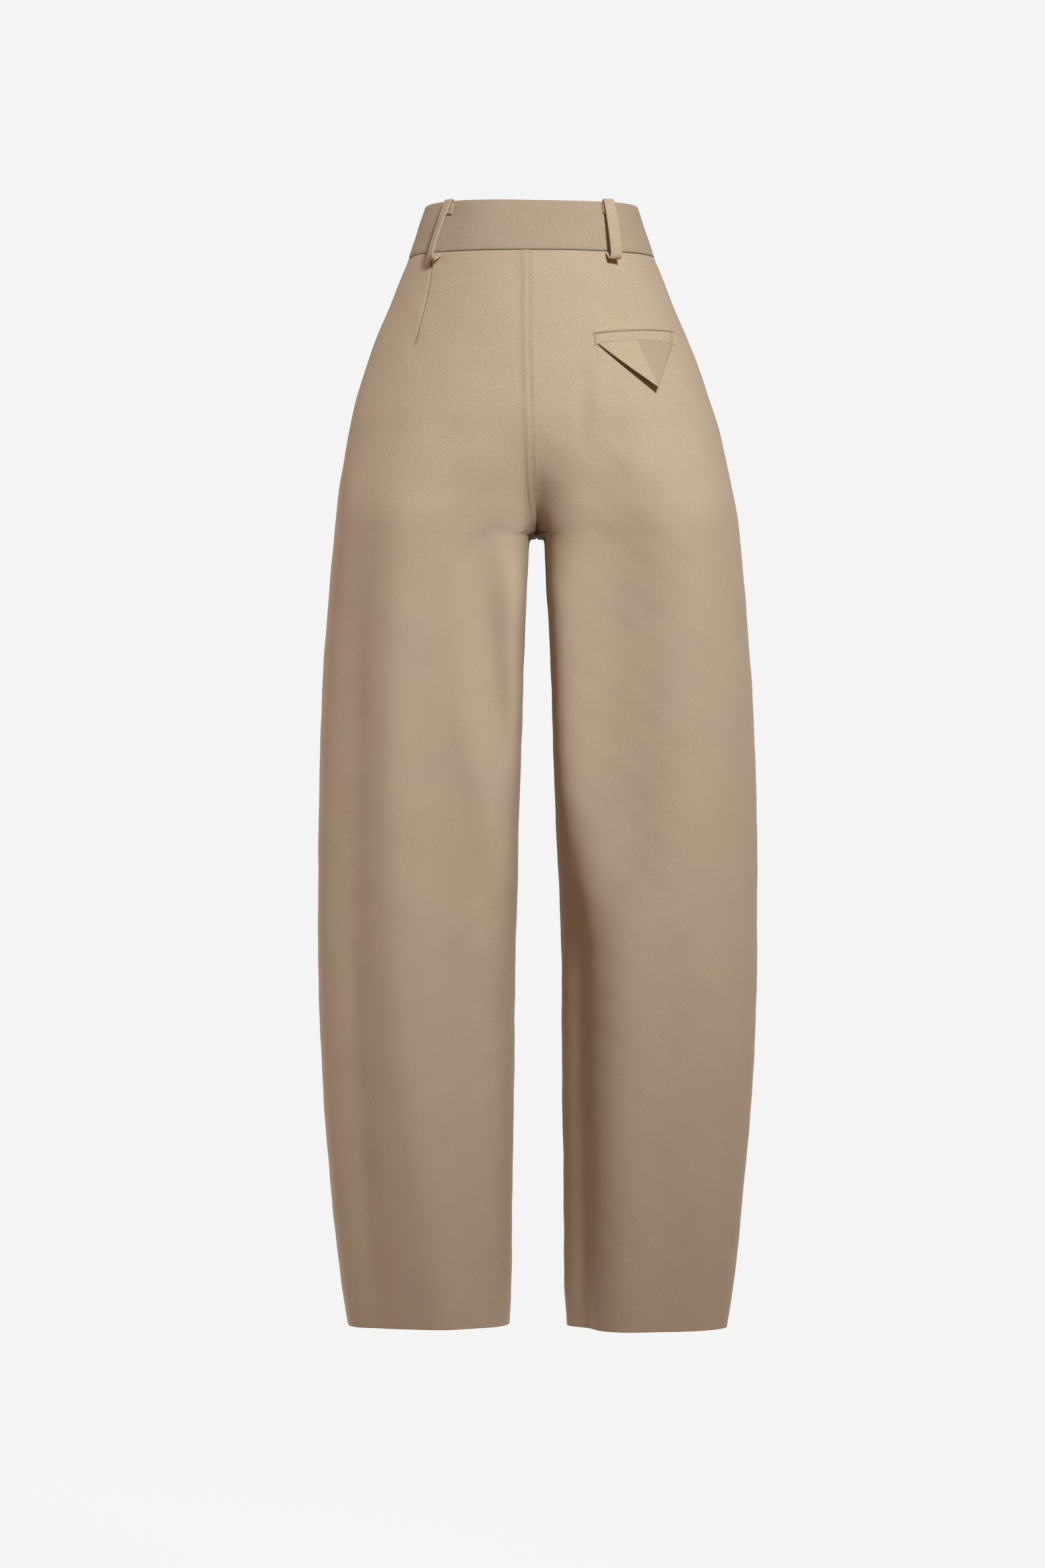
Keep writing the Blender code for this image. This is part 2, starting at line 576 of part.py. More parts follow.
def build_button(collection, cutters, material):
    """A flat round button with four holes, turned from a profile."""
    r, h, dish = BUTTON_RADIUS, BUTTON_HEIGHT, BUTTON_DISH
    profile = ((0, h - dish), (r * 0.62, h - dish), (r * 0.76, h), (r * 0.93, h * 0.92), (r, h * 0.6), (r * 0.86, 0), (0, 0))
    data = bpy.data.meshes.new("waist_button")
    edges = [(i, i + 1) for i in range(len(profile) - 1)]
    data.from_pydata([(x, 0, z) for x, z in profile], edges, [])
    button = link(bpy.data.objects.new("waist_button", data), collection, material)
    turning = button.modifiers.new("Turn", "SCREW")
    turning.steps = turning.render_steps = 32
    turning.use_merge_vertices, turning.merge_threshold = True, 0.00005
    for i in range(4):
        angle = math.pi / 4 + i * math.pi / 2
        hole = mesh_object(
            f"button_hole_{i}",
            lambda mesh: bmesh.ops.create_cone(
                mesh,
                cap_ends=True,
                segments=10,
                radius1=BUTTON_HOLE_RADIUS,
                radius2=BUTTON_HOLE_RADIUS,
                depth=BUTTON_HEIGHT * 3,
            ),
            cutters,
            material,
        )
        hole.parent = button
        hole.location = (BUTTON_HOLE_RING * math.cos(angle), BUTTON_HOLE_RING * math.sin(angle), BUTTON_HEIGHT / 2)
        hole.hide_render = True
        hole.display_type = "WIRE"
        cut = button.modifiers.new(f"Hole {i}", "BOOLEAN")
        cut.operation, cut.object = "DIFFERENCE", hole
    side = RIGHT if BUTTON_X < 0 else LEFT
    proud = BAND_PROUD + FLY_RISE + BUTTON_SEAT
    button.location = raised(side, FRONT, 0.0, abs(BUTTON_X), proud)
    button.rotation_euler = outward(side, FRONT, 0.0, abs(BUTTON_X)).to_track_quat("Z", "Y").to_euler()
    return button


def behind_front(x, drop, out):
    """A point on the zip's plane just inside the front panels, moved out by a distance."""
    side = LEFT if x > 0 else RIGHT
    return raised(side, FRONT, drop, abs(x), out - CLOTH - ZIP_CLEARANCE)


def build_zip(collection, material):
    """The closed zip behind the fly: both tapes and the thicker chain between them, in one strip."""
    edge = ZIP_HALF_CHAIN + 0.0004
    section = (
        (-ZIP_HALF_TAPE, 0.0),
        (-edge, 0.0),
        (-ZIP_HALF_CHAIN, ZIP_CHAIN_RISE),
        (ZIP_HALF_CHAIN, ZIP_CHAIN_RISE),
        (edge, 0.0),
        (ZIP_HALF_TAPE, 0.0),
        (ZIP_HALF_TAPE, -ZIP_TAPE),
        (edge, -ZIP_TAPE),
        (ZIP_HALF_CHAIN, -ZIP_TAPE - ZIP_CHAIN_RISE),
        (-ZIP_HALF_CHAIN, -ZIP_TAPE - ZIP_CHAIN_RISE),
        (-edge, -ZIP_TAPE),
        (-ZIP_HALF_TAPE, -ZIP_TAPE),
    )

    def fill(mesh):
        rings = []
        for drop in np.linspace(ZIP_TOP, ZIP_BOTTOM, ZIP_ROWS):
            ring = [mesh.verts.new(behind_front(ZIP_X + x, drop, out)) for x, out in section]
            rings.append(ring)
        for upper, lower in zip(rings, rings[1:]):
            for i in range(len(section)):
                k = (i + 1) % len(section)
                mesh.faces.new((upper[i], upper[k], lower[k], lower[i]))
        mesh.faces.new(rings[0])
        mesh.faces.new(rings[-1])
        bmesh.ops.recalc_face_normals(mesh, faces=mesh.faces)

    return mesh_object("fly_zip", fill, collection, material)


def build_slider(collection, material):
    """The zip's slider at the top of the chain, with its pull hanging down under the lap."""
    wide, narrow = SLIDER_WIDTH / 2, PULL_WIDTH / 2
    outline = (
        (-wide, 0.0),
        (wide, 0.0),
        (wide * 0.8, -SLIDER_LENGTH),
        (narrow, -SLIDER_LENGTH * 1.15),
        (narrow, -SLIDER_LENGTH - PULL_LENGTH),
        (-narrow, -SLIDER_LENGTH - PULL_LENGTH),
        (-narrow, -SLIDER_LENGTH * 1.15),
        (-wide * 0.8, -SLIDER_LENGTH),
    )
    curve = bpy.data.curves.new("zip_slider", "CURVE")
    curve.dimensions = "2D"
    curve.fill_mode = "BOTH"
    curve.extrude = SLIDER_THICKNESS / 2
    spline = curve.splines.new("POLY")
    spline.points.add(len(outline) - 1)
    for point, (x, y) in zip(spline.points, outline):
        point.co = (x, y, 0, 1)
    spline.use_cyclic_u = True
    slider = link(bpy.data.objects.new("zip_slider", curve), collection, material)
    out = ZIP_CHAIN_RISE + SEAM_GAP + SLIDER_THICKNESS / 2
    top = behind_front(ZIP_X, ZIP_TOP, out)
    low = behind_front(ZIP_X, ZIP_TOP + SLIDER_LENGTH + PULL_LENGTH, out)
    slope = math.atan2(top.y - low.y, top.z - low.z)
    slider.location = top
    slider.rotation_euler = (math.pi / 2 - slope, 0, 0)
    return slider


def collection_named(name):
    made = bpy.data.collections.new(name)
    bpy.context.scene.collection.children.link(made)
    return made


def material_named(name, color, roughness, metallic=0.0, sheen=0.0):
    made = bpy.data.materials.new(name)
    made.use_nodes = True
    shader = made.node_tree.nodes["Principled BSDF"]
    shader.inputs["Base Color"].default_value = color
    shader.inputs["Roughness"].default_value = roughness
    shader.inputs["Metallic"].default_value = metallic
    shader.inputs["Sheen Weight"].default_value = sheen
    made.diffuse_color = color
    return made


def main():
    for obj in list(bpy.data.objects):
        bpy.data.objects.remove(obj)
    trousers = collection_named("barrel_leg_trousers")
    cutters = collection_named("cutters")
    twill = material_named("khaki_twill", KHAKI, 0.85, sheen=0.2)
    horn = material_named("horn_button", HORN, 0.40)
    tape = material_named("zip_tape", TAPE, 0.80)
    metal = material_named("zip_metal", METAL, 0.35, metallic=1.0)
    build_panel("back_left", LEFT, BACK, trousers, twill)
    build_panel("back_right", RIGHT, BACK, trousers, twill)
    build_panel("front_left", LEFT, FRONT, trousers, twill)
    build_panel("front_right", RIGHT, FRONT, trousers, twill)
    build_band(trousers, twill)
    for row in LOOPS:
        build_loop(row, trousers, twill)
    build_welt(trousers, twill)
    build_flap(trousers, twill)
    build_button(trousers, cutters, horn)
    build_zip(trousers, tape)
    build_slider(trousers, metal)


main()
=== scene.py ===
import functools
import math

import bmesh
import bpy
import numpy as np
from mathutils import Matrix, Vector


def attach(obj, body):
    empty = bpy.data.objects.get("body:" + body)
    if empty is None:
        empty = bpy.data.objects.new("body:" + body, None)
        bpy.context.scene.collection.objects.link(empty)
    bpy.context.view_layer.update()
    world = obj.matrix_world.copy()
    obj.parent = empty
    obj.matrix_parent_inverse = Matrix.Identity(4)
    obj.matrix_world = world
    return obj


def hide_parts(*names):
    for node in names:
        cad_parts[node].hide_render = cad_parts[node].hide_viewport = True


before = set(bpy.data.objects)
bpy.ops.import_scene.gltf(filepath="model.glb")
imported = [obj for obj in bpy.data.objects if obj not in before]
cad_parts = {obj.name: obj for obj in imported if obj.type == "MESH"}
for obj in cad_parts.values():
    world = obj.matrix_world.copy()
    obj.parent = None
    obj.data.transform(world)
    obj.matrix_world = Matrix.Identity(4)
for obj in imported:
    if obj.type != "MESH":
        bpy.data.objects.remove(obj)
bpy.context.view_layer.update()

scene = bpy.context.scene
left, right, back, front = 1, -1, 1, -1

# The garment's own sizes, in metres. A level is its drop below the middle of the waistband.
trousers = {
    "bandHeight": 0.050,
    "crotchDrop": 0.300,
    "hemDrop": 1.079,
    "hemShift": 0.0013,  # the right leg hangs this much lower, the left one higher
    "cloth": 0.0015,
    "bodyBlend": (0.004, 0.105),
    "valley": {"top": 0.180, "below": 0.090, "share": 0.13, "width": 0.030, "power": 1.0},
    "samples": 721,
    "crotchPull": 5,
    "middleFade": 0.040,
    "gapReach": 0.009,
    "cleft": {"top": 0.205, "below": 0.050, "share": 0.07, "width": 0.0100, "power": 1.5},
    "cornerReach": 0.0125,
}
crotch, bandHalf = trousers["crotchDrop"], trousers["bandHeight"] / 2

sectionNames = ("drop", "outer", "inner", "back", "front", "sway", "square")
sections = (
    (-0.0250, 0.1045, -0.2000, 0.0865, 0.0855, 0.0000, 2.30),
    (0.0250, 0.1212, -0.1750, 0.0985, 0.0965, 0.0000, 2.30),
    (0.0461, 0.1297, -0.1600, 0.1040, 0.1000, 0.0000, 2.30),
    (0.0725, 0.1403, -0.1430, 0.1100, 0.1030, 0.0000, 2.30),
    (0.0989, 0.1515, -0.1260, 0.1155, 0.1052, 0.0000, 2.30),
    (0.1253, 0.1617, -0.1090, 0.1200, 0.1066, -0.0004, 2.40),
    (0.1517, 0.1706, -0.0920, 0.1238, 0.1076, -0.0010, 2.55),
    (0.1913, 0.1818, -0.0665, 0.1275, 0.1085, -0.0022, 2.80),
    (0.2309, 0.1898, -0.0410, 0.1280, 0.1086, -0.0034, 2.98),
    (0.2705, 0.1967, -0.0155, 0.1255, 0.1076, -0.0046, 2.92),
    (0.2900, 0.1993, -0.0050, 0.1225, 0.1066, -0.0051, 2.86),
    (0.3000, 0.2004, 0.0000, 0.1208, 0.1060, -0.0053, 2.82),
    (0.3100, 0.2014, 0.0077, 0.1194, 0.1055, -0.0053, 2.79),
    (0.3497, 0.2049, 0.0096, 0.1150, 0.1038, -0.0053, 2.66),
    (0.4025, 0.2092, 0.0125, 0.1105, 0.1015, -0.0055, 2.54),
    (0.4553, 0.2129, 0.0142, 0.1070, 0.1000, -0.0058, 2.45),
    (0.5345, 0.2158, 0.0165, 0.1030, 0.0978, -0.0060, 2.38),
    (0.6137, 0.2171, 0.0191, 0.0990, 0.0955, -0.0062, 2.38),
    (0.7193, 0.2171, 0.0221, 0.0940, 0.0925, -0.0062, 2.45),
    (0.8249, 0.2135, 0.0231, 0.0885, 0.0880, -0.0061, 2.52),
    (0.9305, 0.2053, 0.0248, 0.0830, 0.0833, -0.0059, 2.60),
    (1.0361, 0.1944, 0.0257, 0.0775, 0.0780, -0.0060, 2.70),
    (1.0790, 0.1874, 0.0280, 0.0755, 0.0760, -0.0062, 2.75),
)

# Soft folds: angles run round a leg, 0 at the side seam, 90 at mid back, 180 at the inseam
foldNames = ("leg", "top", "bottom", "fadeIn", "fadeOut")
foldNames += ("angleTop", "angleMiddle", "angleBottom", "height", "spread")
folds = (
    (left, 0.100, 1.600, 0.34, 0.40, 76, 86, 150, 0.0090, 20),
    (left, 0.150, 1.250, 0.34, 0.35, 46, 50, 50, -0.0078, 15),
    (left, 0.220, 0.640, 0.12, 0.17, 122, 134, 176, -0.0094, 17),
    (left, 0.250, 0.720, 0.12, 0.16, 88, 116, 158, 0.0030, 13),
    (left, 0.500, 1.400, 0.25, 0.25, 26, 30, 30, 0.0025, 15),
    (left, 0.700, 1.450, 0.22, 0.30, 128, 124, 128, -0.0025, 18),
    (right, 0.170, 0.700, 0.16, 0.16, 112, 116, 124, -0.0045, 20),
    (right, 0.150, 0.860, 0.20, 0.20, 70, 80, 104, 0.0050, 20),
    (right, 0.460, 0.740, 0.09, 0.09, 84, 106, 140, -0.0030, 16),
    (right, 0.560, 1.700, 0.22, 0.30, 114, 106, 98, 0.0092, 19),
    (right, 0.540, 1.800, 0.20, 0.30, 156, 148, 138, -0.0122, 19),
    (right, 0.420, 1.300, 0.25, 0.25, 34, 40, 42, -0.0025, 16),
    (left, 0.200, 1.450, 0.35, 0.35, -78, -86, -94, 0.0045, 21),
    (left, 0.280, 1.400, 0.30, 0.30, -124, -130, -134, -0.0045, 19),
    (left, 0.180, 1.000, 0.25, 0.25, -42, -48, -54, -0.0035, 17),
    (right, 0.180, 1.450, 0.35, 0.35, -82, -90, -96, 0.0045, 21),
    (right, 0.300, 1.350, 0.30, 0.30, -128, -134, -130, -0.0040, 19),
    (right, 0.220, 1.100, 0.25, 0.25, -44, -50, -48, -0.0035, 17),
)

# How square the inner half of each leg is, by drop: the seat's flat back runs on down the thigh
innerSquare = {
    left: ((0.20, 4.0), (0.30, 5.6), (0.36, 8.5), (0.50, 8.0), (0.62, 5.0), (0.80, 2.8), (1.10, 2.6)),
    right: ((0.20, 4.0), (0.30, 5.6), (0.36, 8.5), (0.50, 8.0), (0.60, 4.6), (0.72, 2.4), (1.10, 2.1)),
}

# Small creases and dimples, from one point to another: x from the middle line, and drop
creaseNames = ("leg", "face", "x0", "drop0", "x1", "drop1", "height", "width")
creases = (
    (right, back, 0.052, 0.146, 0.044, 0.205, -0.0018, 0.0075),
    (right, back, 0.068, 0.150, 0.060, 0.200, 0.0010, 0.0080),
    (left, back, 0.098, 0.140, 0.012, 0.152, -0.00035, 0.0090),
    (left, back, 0.092, 0.052, 0.055, 0.050, -0.0005, 0.0040),
    (right, back, 0.082, 0.170, 0.078, 0.215, -0.0009, 0.0090),
    (left, back, 0.120, 0.060, 0.100, 0.110, 0.0008, 0.0100),
    (left, front, 0.012, 0.240, 0.062, 0.268, -0.0020, 0.0090),
    (right, front, 0.012, 0.236, 0.058, 0.272, -0.0018, 0.0090),
    (left, front, 0.014, 0.262, 0.075, 0.310, -0.0018, 0.0100),
    (right, front, 0.014, 0.258, 0.080, 0.305, -0.0020, 0.0100),
)


def smoothstep(value):
    t = np.clip(value, 0.0, 1.0)
    return t * t * (3 - 2 * t)


def bell(value, width):
    return np.exp(-((value / width) ** 2))


def smoothCurve(knots, values):
    steps = np.diff(knots)
    rises = np.diff(values) / steps
    slopes = np.empty(len(knots))
    slopes[0], slopes[-1] = rises[0], rises[-1]
    for i in range(1, len(knots) - 1):  # slopes that never overshoot between the rows
        before, after = rises[i - 1], rises[i]
        w1, w2 = 2 * steps[i] + steps[i - 1], steps[i] + 2 * steps[i - 1]
        slopes[i] = 0.0 if before * after <= 0 else (w1 + w2) / (w1 / before + w2 / after)

    def value(drop):
        drop = min(max(drop, knots[0]), knots[-1])
        i = int(np.clip(np.searchsorted(knots, drop) - 1, 0, len(knots) - 2))
        step = knots[i + 1] - knots[i]
        t = (drop - knots[i]) / step
        return (
            values[i] * (1 + 2 * t) * (1 - t) ** 2
            + slopes[i] * step * t * (1 - t) ** 2
            + values[i + 1] * t * t * (3 - 2 * t)
            + slopes[i + 1] * step * t * t * (t - 1)
        )

    return value


sectionTable = np.array(sections, float)
sectionAt = {
    name: smoothCurve(sectionTable[:, 0], sectionTable[:, i + 1]) for i, name in enumerate(sectionNames[1:])
}


def foldHeight(side, drop, angle):
    total = np.zeros_like(angle)
    for row in folds:
        fold = dict(zip(foldNames, row))
        along = (drop - fold["top"]) / (fold["bottom"] - fold["top"])
        if fold["leg"] != side or not 0 < along < 1:
            continue
        centre = (
            fold["angleTop"] * (1 - along) * (1 - 2 * along)
            + fold["angleMiddle"] * 4 * along * (1 - along)
            + fold["angleBottom"] * along * (2 * along - 1)
        )
        ends = smoothstep((drop - fold["top"]) / fold["fadeIn"])
        ends = ends * smoothstep((fold["bottom"] - drop) / fold["fadeOut"])
        away = (angle - centre + 180) % 360 - 180
        total += fold["height"] * ends * bell(away, fold["spread"])
    return total


# The inner edge near the crotch: the soft one that the back and front follow, and the gap's rounder top
softInner = ((0.27, -0.0158), (0.29, -0.005), (0.30, 0.0), (0.31, 0.0038))
softInner += ((0.33, 0.0078), (0.36, 0.0101), (0.40, 0.0124))
gapTop = ((0.30, 0.0), (0.3003, 0.0036), (0.3015, 0.0060), (0.3040, 0.0072), (0.31, 0.0078), (0.3497, 0.0096))
softCurve, gapCurve = smoothCurve(*np.array(softInner).T), smoothCurve(*np.array(gapTop).T)
squareCurve = {side: smoothCurve(*np.array(rows).T) for side, rows in innerSquare.items()}


@functools.lru_cache(maxsize=None)
def halfSection(side, face, drop):
    at = {name: curve(drop) for name, curve in sectionAt.items()}
    depth = at["back"] if face == back else at["front"]
    power = 2 / at["square"]
    if softInner[0][0] <= drop <= softInner[-1][0]:  # the gap's round top stays near the inner seam
        at["inner"] = float(softCurve(drop))
    seam = at["inner"]
    if crotch < drop < softInner[-1][0]:
        seam = gapCurve(drop) if drop < gapTop[-1][0] else sectionAt["inner"](drop)
    middle, half = (at["outer"] + at["inner"]) / 2, (at["outer"] - at["inner"]) / 2
    innerPower = 2 / float(squareCurve[side](drop))
    start = math.pi if at["inner"] >= 0 else math.acos(-((max(middle, 0) / half) ** (1 / innerPower)))
    pull = min(trousers["crotchPull"], start / max(math.pi - start, 0.01))
    fromSide = np.linspace(1, 0, trousers["samples"])
    angle = math.pi * fromSide - (math.pi - start) * fromSide**pull
    cosine, sine = np.cos(angle), np.abs(np.sin(angle))
    round2d = np.where(cosine < 0, innerPower, power)
    x = middle + half * np.sign(cosine) * np.abs(cosine) ** round2d
    x = x + (seam - at["inner"]) * np.exp(-(x - at["inner"]) / trousers["gapReach"])
    y = depth * sine**round2d
    above = crotch - drop
    low, high = trousers["bodyBlend"]
    body = smoothstep((above - low) / (high - low))
    if body > 0:  # two legs run together into one rounded body
        quarter = math.pi / 2 * angle / start
        x = x * (1 - body) + body * at["outer"] * np.maximum(np.cos(quarter), 0) ** power
        y = y * (1 - body) + body * depth * np.sin(quarter) ** power
    # the cloth falls in towards the crotch, in a wide valley with a narrow cleft
    for name, share in (("valley", 1 if face == back else 0.6), ("cleft", 1)):
        hollow = trousers[name]
        deep = smoothstep((drop - hollow["top"]) / (crotch - hollow["top"]))
        deep = deep ** hollow["power"] * (1 - smoothstep(-above / hollow["below"]))
        y = y * (1 - hollow["share"] * share * deep * bell(x, hollow["width"]))
    inner = max(at["inner"], 0.0)
    across = np.clip((x - inner) / (at["outer"] - inner), 0, 1)
    rise = foldHeight(side, drop, np.degrees(np.arccos(2 * across - 1)) * face)
    nearMiddle = 1 - smoothstep(x / trousers["middleFade"])
    rise = rise * (1 - nearMiddle * smoothstep(above / 0.03))
    alongX, alongY = np.gradient(x), np.gradient(y)
    length = np.hypot(alongX, alongY)
    outX, outY = -alongY / length, alongX / length
    outX[-1], outY[-1] = 1.0, 0.0
    if at["inner"] >= 0:
        outX[0], outY[0] = -1.0, 0.0
    x = np.maximum(x + outX * rise, 0)
    y = np.maximum(y + outY * rise, 0)
    points = np.stack([side * x + at["sway"], face * y, np.full_like(x, -drop)], axis=1)
    distance = np.concatenate([[0], np.cumsum(np.linalg.norm(np.diff(points, axis=0), axis=1))])
    return points, distance


def rowPoints(side, face, drop, distances):
    points, along = halfSection(side, face, drop)
    return np.stack([np.interp(distances, along, points[:, i]) for i in range(3)], axis=-1)


def distanceAtX(side, face, drop, x):
    points, along = halfSection(side, face, drop)
    off = side * (points[:, 0] - sectionAt["sway"](drop))
    first = int(np.argmin(off))
    return float(np.interp(x, off[first:], along[first:]))


def onCloth(side, face, drop, distance, offset=0.0):
    step = 0.002
    near = rowPoints(side, face, drop, np.array([distance + step, max(distance - step, 0.0), distance]))
    below = rowPoints(side, face, drop + step, np.array([distance]))[0]
    above = rowPoints(side, face, drop - step, np.array([distance]))[0]
    normal = np.cross(near[0] - near[1], below - above)
    normal /= np.linalg.norm(normal)
    if normal[1] * face < 0 and not (abs(normal[1]) < 0.05 and normal[0] * side > 0):
        normal = -normal
    return Vector(near[2] + normal * offset), Vector(normal)


# Back darts
dart = {"topX": 0.0969, "pointX": 0.1141, "pointDrop": 0.1164, "depth": 0.0013, "width": 0.00055}
dartColumns = (-0.0060, -0.0030, -0.0012, -0.0007, -0.0003, 0.0, 0.0003, 0.0007, 0.0012, 0.0030, 0.0060)


def dartX(drop):
    along = smoothstep((drop - bandHalf) / (dart["pointDrop"] - bandHalf) * 0.5) * 2
    return dart["topX"] + (dart["pointX"] - dart["topX"]) * along


# Back pocket on the wearer's right. Each edge of the welt goes by its drops at both ends.
pocket = {
    "innerX": 0.0605,
    "outerX": 0.1380,
    "topDrops": (0.1080, 0.1020),
    "topRise": 0.0016,
    "lowDrops": (0.1192, 0.1150),
    "lowRise": 0.0035,
    "sunk": 0.0014,
    "flapInnerX": 0.0640,
    "flapOuterX": 0.1375,
    "flapFoldX": 0.1037,
    "flapPointX": 0.1185,
    "flapPointDrop": 0.1630,
    "flapLift": 0.0068,
    "flapCloth": 0.0013,
    "weltCloth": 0.0011,
    "dropZone": (0.09, 0.13),
}


def weltEdge(x, lower):
    share = (x - pocket["innerX"]) / (pocket["outerX"] - pocket["innerX"])
    inner, outer = pocket["lowDrops"] if lower else pocket["topDrops"]
    rise = (pocket["lowRise"] if lower else pocket["topRise"]) * 4 * share * (1 - share)
    return inner + (outer - inner) * share - rise


# The felled seat seam: its raised strip, its two stitched rows and the fine puckers beside them
seatSeam = {"rise": 0.0006, "width": 0.0092, "edge": 0.0007, "rows": (0.0023, 0.0081), "pucker": 0.00026}


def relief(side, face, drop, distance, x):
    # small forms that are raised or pressed into a panel, on top of its folds
    total = np.zeros_like(distance)
    total -= 0.0007 * np.exp(-(max(drop - bandHalf, 0) / 0.0011))  # it turns in at the waist seam
    for row in creases:
        crease = dict(zip(creaseNames, row))
        if crease["leg"] != side or crease["face"] != face:
            continue
        start = np.array([crease["x0"], crease["drop0"]])
        run = np.array([crease["x1"], crease["drop1"]]) - start
        here = np.stack([x, np.full_like(x, drop)], axis=-1) - start
        along = (here @ run) / (run @ run)
        away = np.linalg.norm(here - np.outer(along, run), axis=-1)
        ends = smoothstep((along + 0.3) / 0.6) * smoothstep((1.3 - along) / 0.6)
        total += crease["height"] * ends * bell(away, crease["width"])
    wobble = np.sin(x * 61 + drop * 23 + side) * np.sin(drop * 47 - x * 17 + face)
    total += 0.00035 * wobble + 0.0002 * np.sin(x * 133 - drop * 71) * np.sin(drop * 97 + side * 2)
    if face == back:
        onSeam = drop < crotch
        if onSeam:
            window = np.exp(-((distance - 0.0052) / 0.0052) ** 4)
            slant = np.sin(2 * math.pi * (drop / 0.0052 + distance / 0.0130) + np.sin(drop * 190))
            total += seatSeam["pucker"] * window * slant * (1 if side == left else 0.5)
        if onSeam and side == left:
            strip = 1 - smoothstep((distance - seatSeam["width"]) / 0.0020)
            rounded = np.sqrt(np.clip(distance / seatSeam["edge"], 0, 1))
            rows = sum(bell(distance - row, 0.0007) for row in seatSeam["rows"])
            fade = 1 - smoothstep((drop - crotch + 0.03) / 0.03)
            total += fade * (seatSeam["rise"] * strip * rounded - 0.0004 * rows)
        middle = distanceAtX(side, face, drop, dartX(drop)) if drop < 0.2 else 0.0
        deep = (1 - smoothstep((drop - dart["pointDrop"] + 0.010) / 0.012)) * (1 if side == left else 0.22)
        away = distance - middle
        total -= dart["depth"] * deep * bell(away, dart["width"])
        total += 0.0003 * deep * bell(away - 0.0028, 0.0026)
        point = ((drop - dart["pointDrop"]) / 0.011) ** 2
        total -= (0.0010 if side == left else 0.0) * np.exp(-((away / 0.0070) ** 2) - point)
    if face == back and side == right and pocket["dropZone"][0] < drop < pocket["dropZone"][1]:
        inside = smoothstep((x - pocket["innerX"] + 0.0015) / 0.002)
        inside = inside * smoothstep((pocket["outerX"] + 0.0015 - x) / 0.002)
        upper, lower = weltEdge(x, False), weltEdge(x, True)
        sunk = smoothstep((drop - upper) / 0.0007) * (1 - smoothstep((drop - lower + 0.0002) / 0.0007))
        total -= pocket["sunk"] * inside * sunk
        lip = bell(drop - upper + 0.0022, 0.0022)
        total += 0.0005 * inside * lip
    return total


def reliefAt(side, face, drop, distance, x):
    return float(relief(side, face, drop, np.array([distance]), np.array([x]))[0])


def paintedGrooveShade(side, face, drop, distance, x):
    # painted shade, 0 to 1: how much darker the cloth is painted in its seams, darts, welt edges and pressed
    # edges, and in the hollow at the crotch, where shade falls
    total = 0.45 * bell(max(drop - bandHalf, 0), 0.0010)
    total = np.full_like(distance, total)
    if face == front:
        return total + 0.5 * bell(distance, 0.0007) * (drop < crotch)
    # painted shade along the seat seam, its rows and its strip, deeper towards the crotch
    toCrotch = smoothstep((drop - 0.19) / 0.10)
    if drop < crotch:
        total += 0.08 * bell(distance, 0.0006)
    if side == left and drop < crotch:
        for row in seatSeam["rows"]:
            total += (0.36 + 0.22 * toCrotch) * bell(distance - row, 0.0006)
        total += (0.30 + 0.35 * toCrotch) * bell(distance - seatSeam["width"], 0.0008)
        total += 0.30 * toCrotch * (1 - smoothstep((distance - seatSeam["width"]) / 0.002))
    if drop < crotch + 0.004:  # painted shade in the hollow at the top of the gap
        total += 0.60 * smoothstep((drop - 0.280) / 0.020) * (1 - smoothstep((x - 0.003) / 0.011))
    # painted shade in the dart's fold and at its point
    if drop < 0.2:
        middle = distanceAtX(side, face, drop, dartX(drop))
        reach = 1 - smoothstep((drop - dart["pointDrop"] + 0.004) / 0.008)
        line = bell(distance - middle, dart["width"])
        total += (0.95 if side == left else 0.20) * reach * line
        spot = ((distance - middle) / 0.0017) ** 2 + ((drop - dart["pointDrop"] + 0.004) / 0.0065) ** 2
        total += (0.45 if side == left else 0.0) * np.exp(-spot)
    # painted shade along the welt's top and lower edges
    if side == right and pocket["dropZone"][0] < drop < pocket["dropZone"][1]:
        ends = smoothstep((x - pocket["innerX"] + 0.002) / 0.001)
        ends = ends * smoothstep((pocket["outerX"] + 0.0035 - x) / 0.001)
        total += 0.9 * ends * bell(drop - weltEdge(x, False), 0.0006)
        total += 0.6 * ends * bell(drop - weltEdge(x, True) - 0.0002, 0.0006)
    return np.minimum(total, 1.0)


print("Shape functions ready")

# Grid of a panel's mesh
panelGrid = {"bodyRows": 88, "legRows": 190, "frontColumns": 66, "toDart": 34, "pastDart": 28}
seamColumns = (0.0, 0.0003, 0.0007, 0.0014, 0.0021, 0.0030, 0.0044, 0.0058)
seamColumns += (0.0070, 0.0081, 0.0090, 0.0100, 0.0114)
crotchRows = (-0.0021, -0.0012, -0.0006, -0.0002, 0.0003, 0.0008, 0.0018, 0.003, 0.0045, 0.0065, 0.010)


def panelDrops(side, face):
    top = bandHalf + 0.0002
    hem = trousers["hemDrop"] - side * trousers["hemShift"]
    drops = list(np.linspace(top, top + 0.004, 6)[:-1])
    drops += list(np.linspace(top + 0.004, crotch, panelGrid["bodyRows"]))
    drops += [crotch + row for row in crotchRows]
    drops += list(np.linspace(crotch + 0.0135, hem - 0.002, panelGrid["legRows"])) + [hem - 0.0008, hem]
    if face == back and side == right:
        drops += list(np.arange(0.0985, 0.1215, 0.0006))
    return sorted(set(round(float(d), 5) for d in drops))


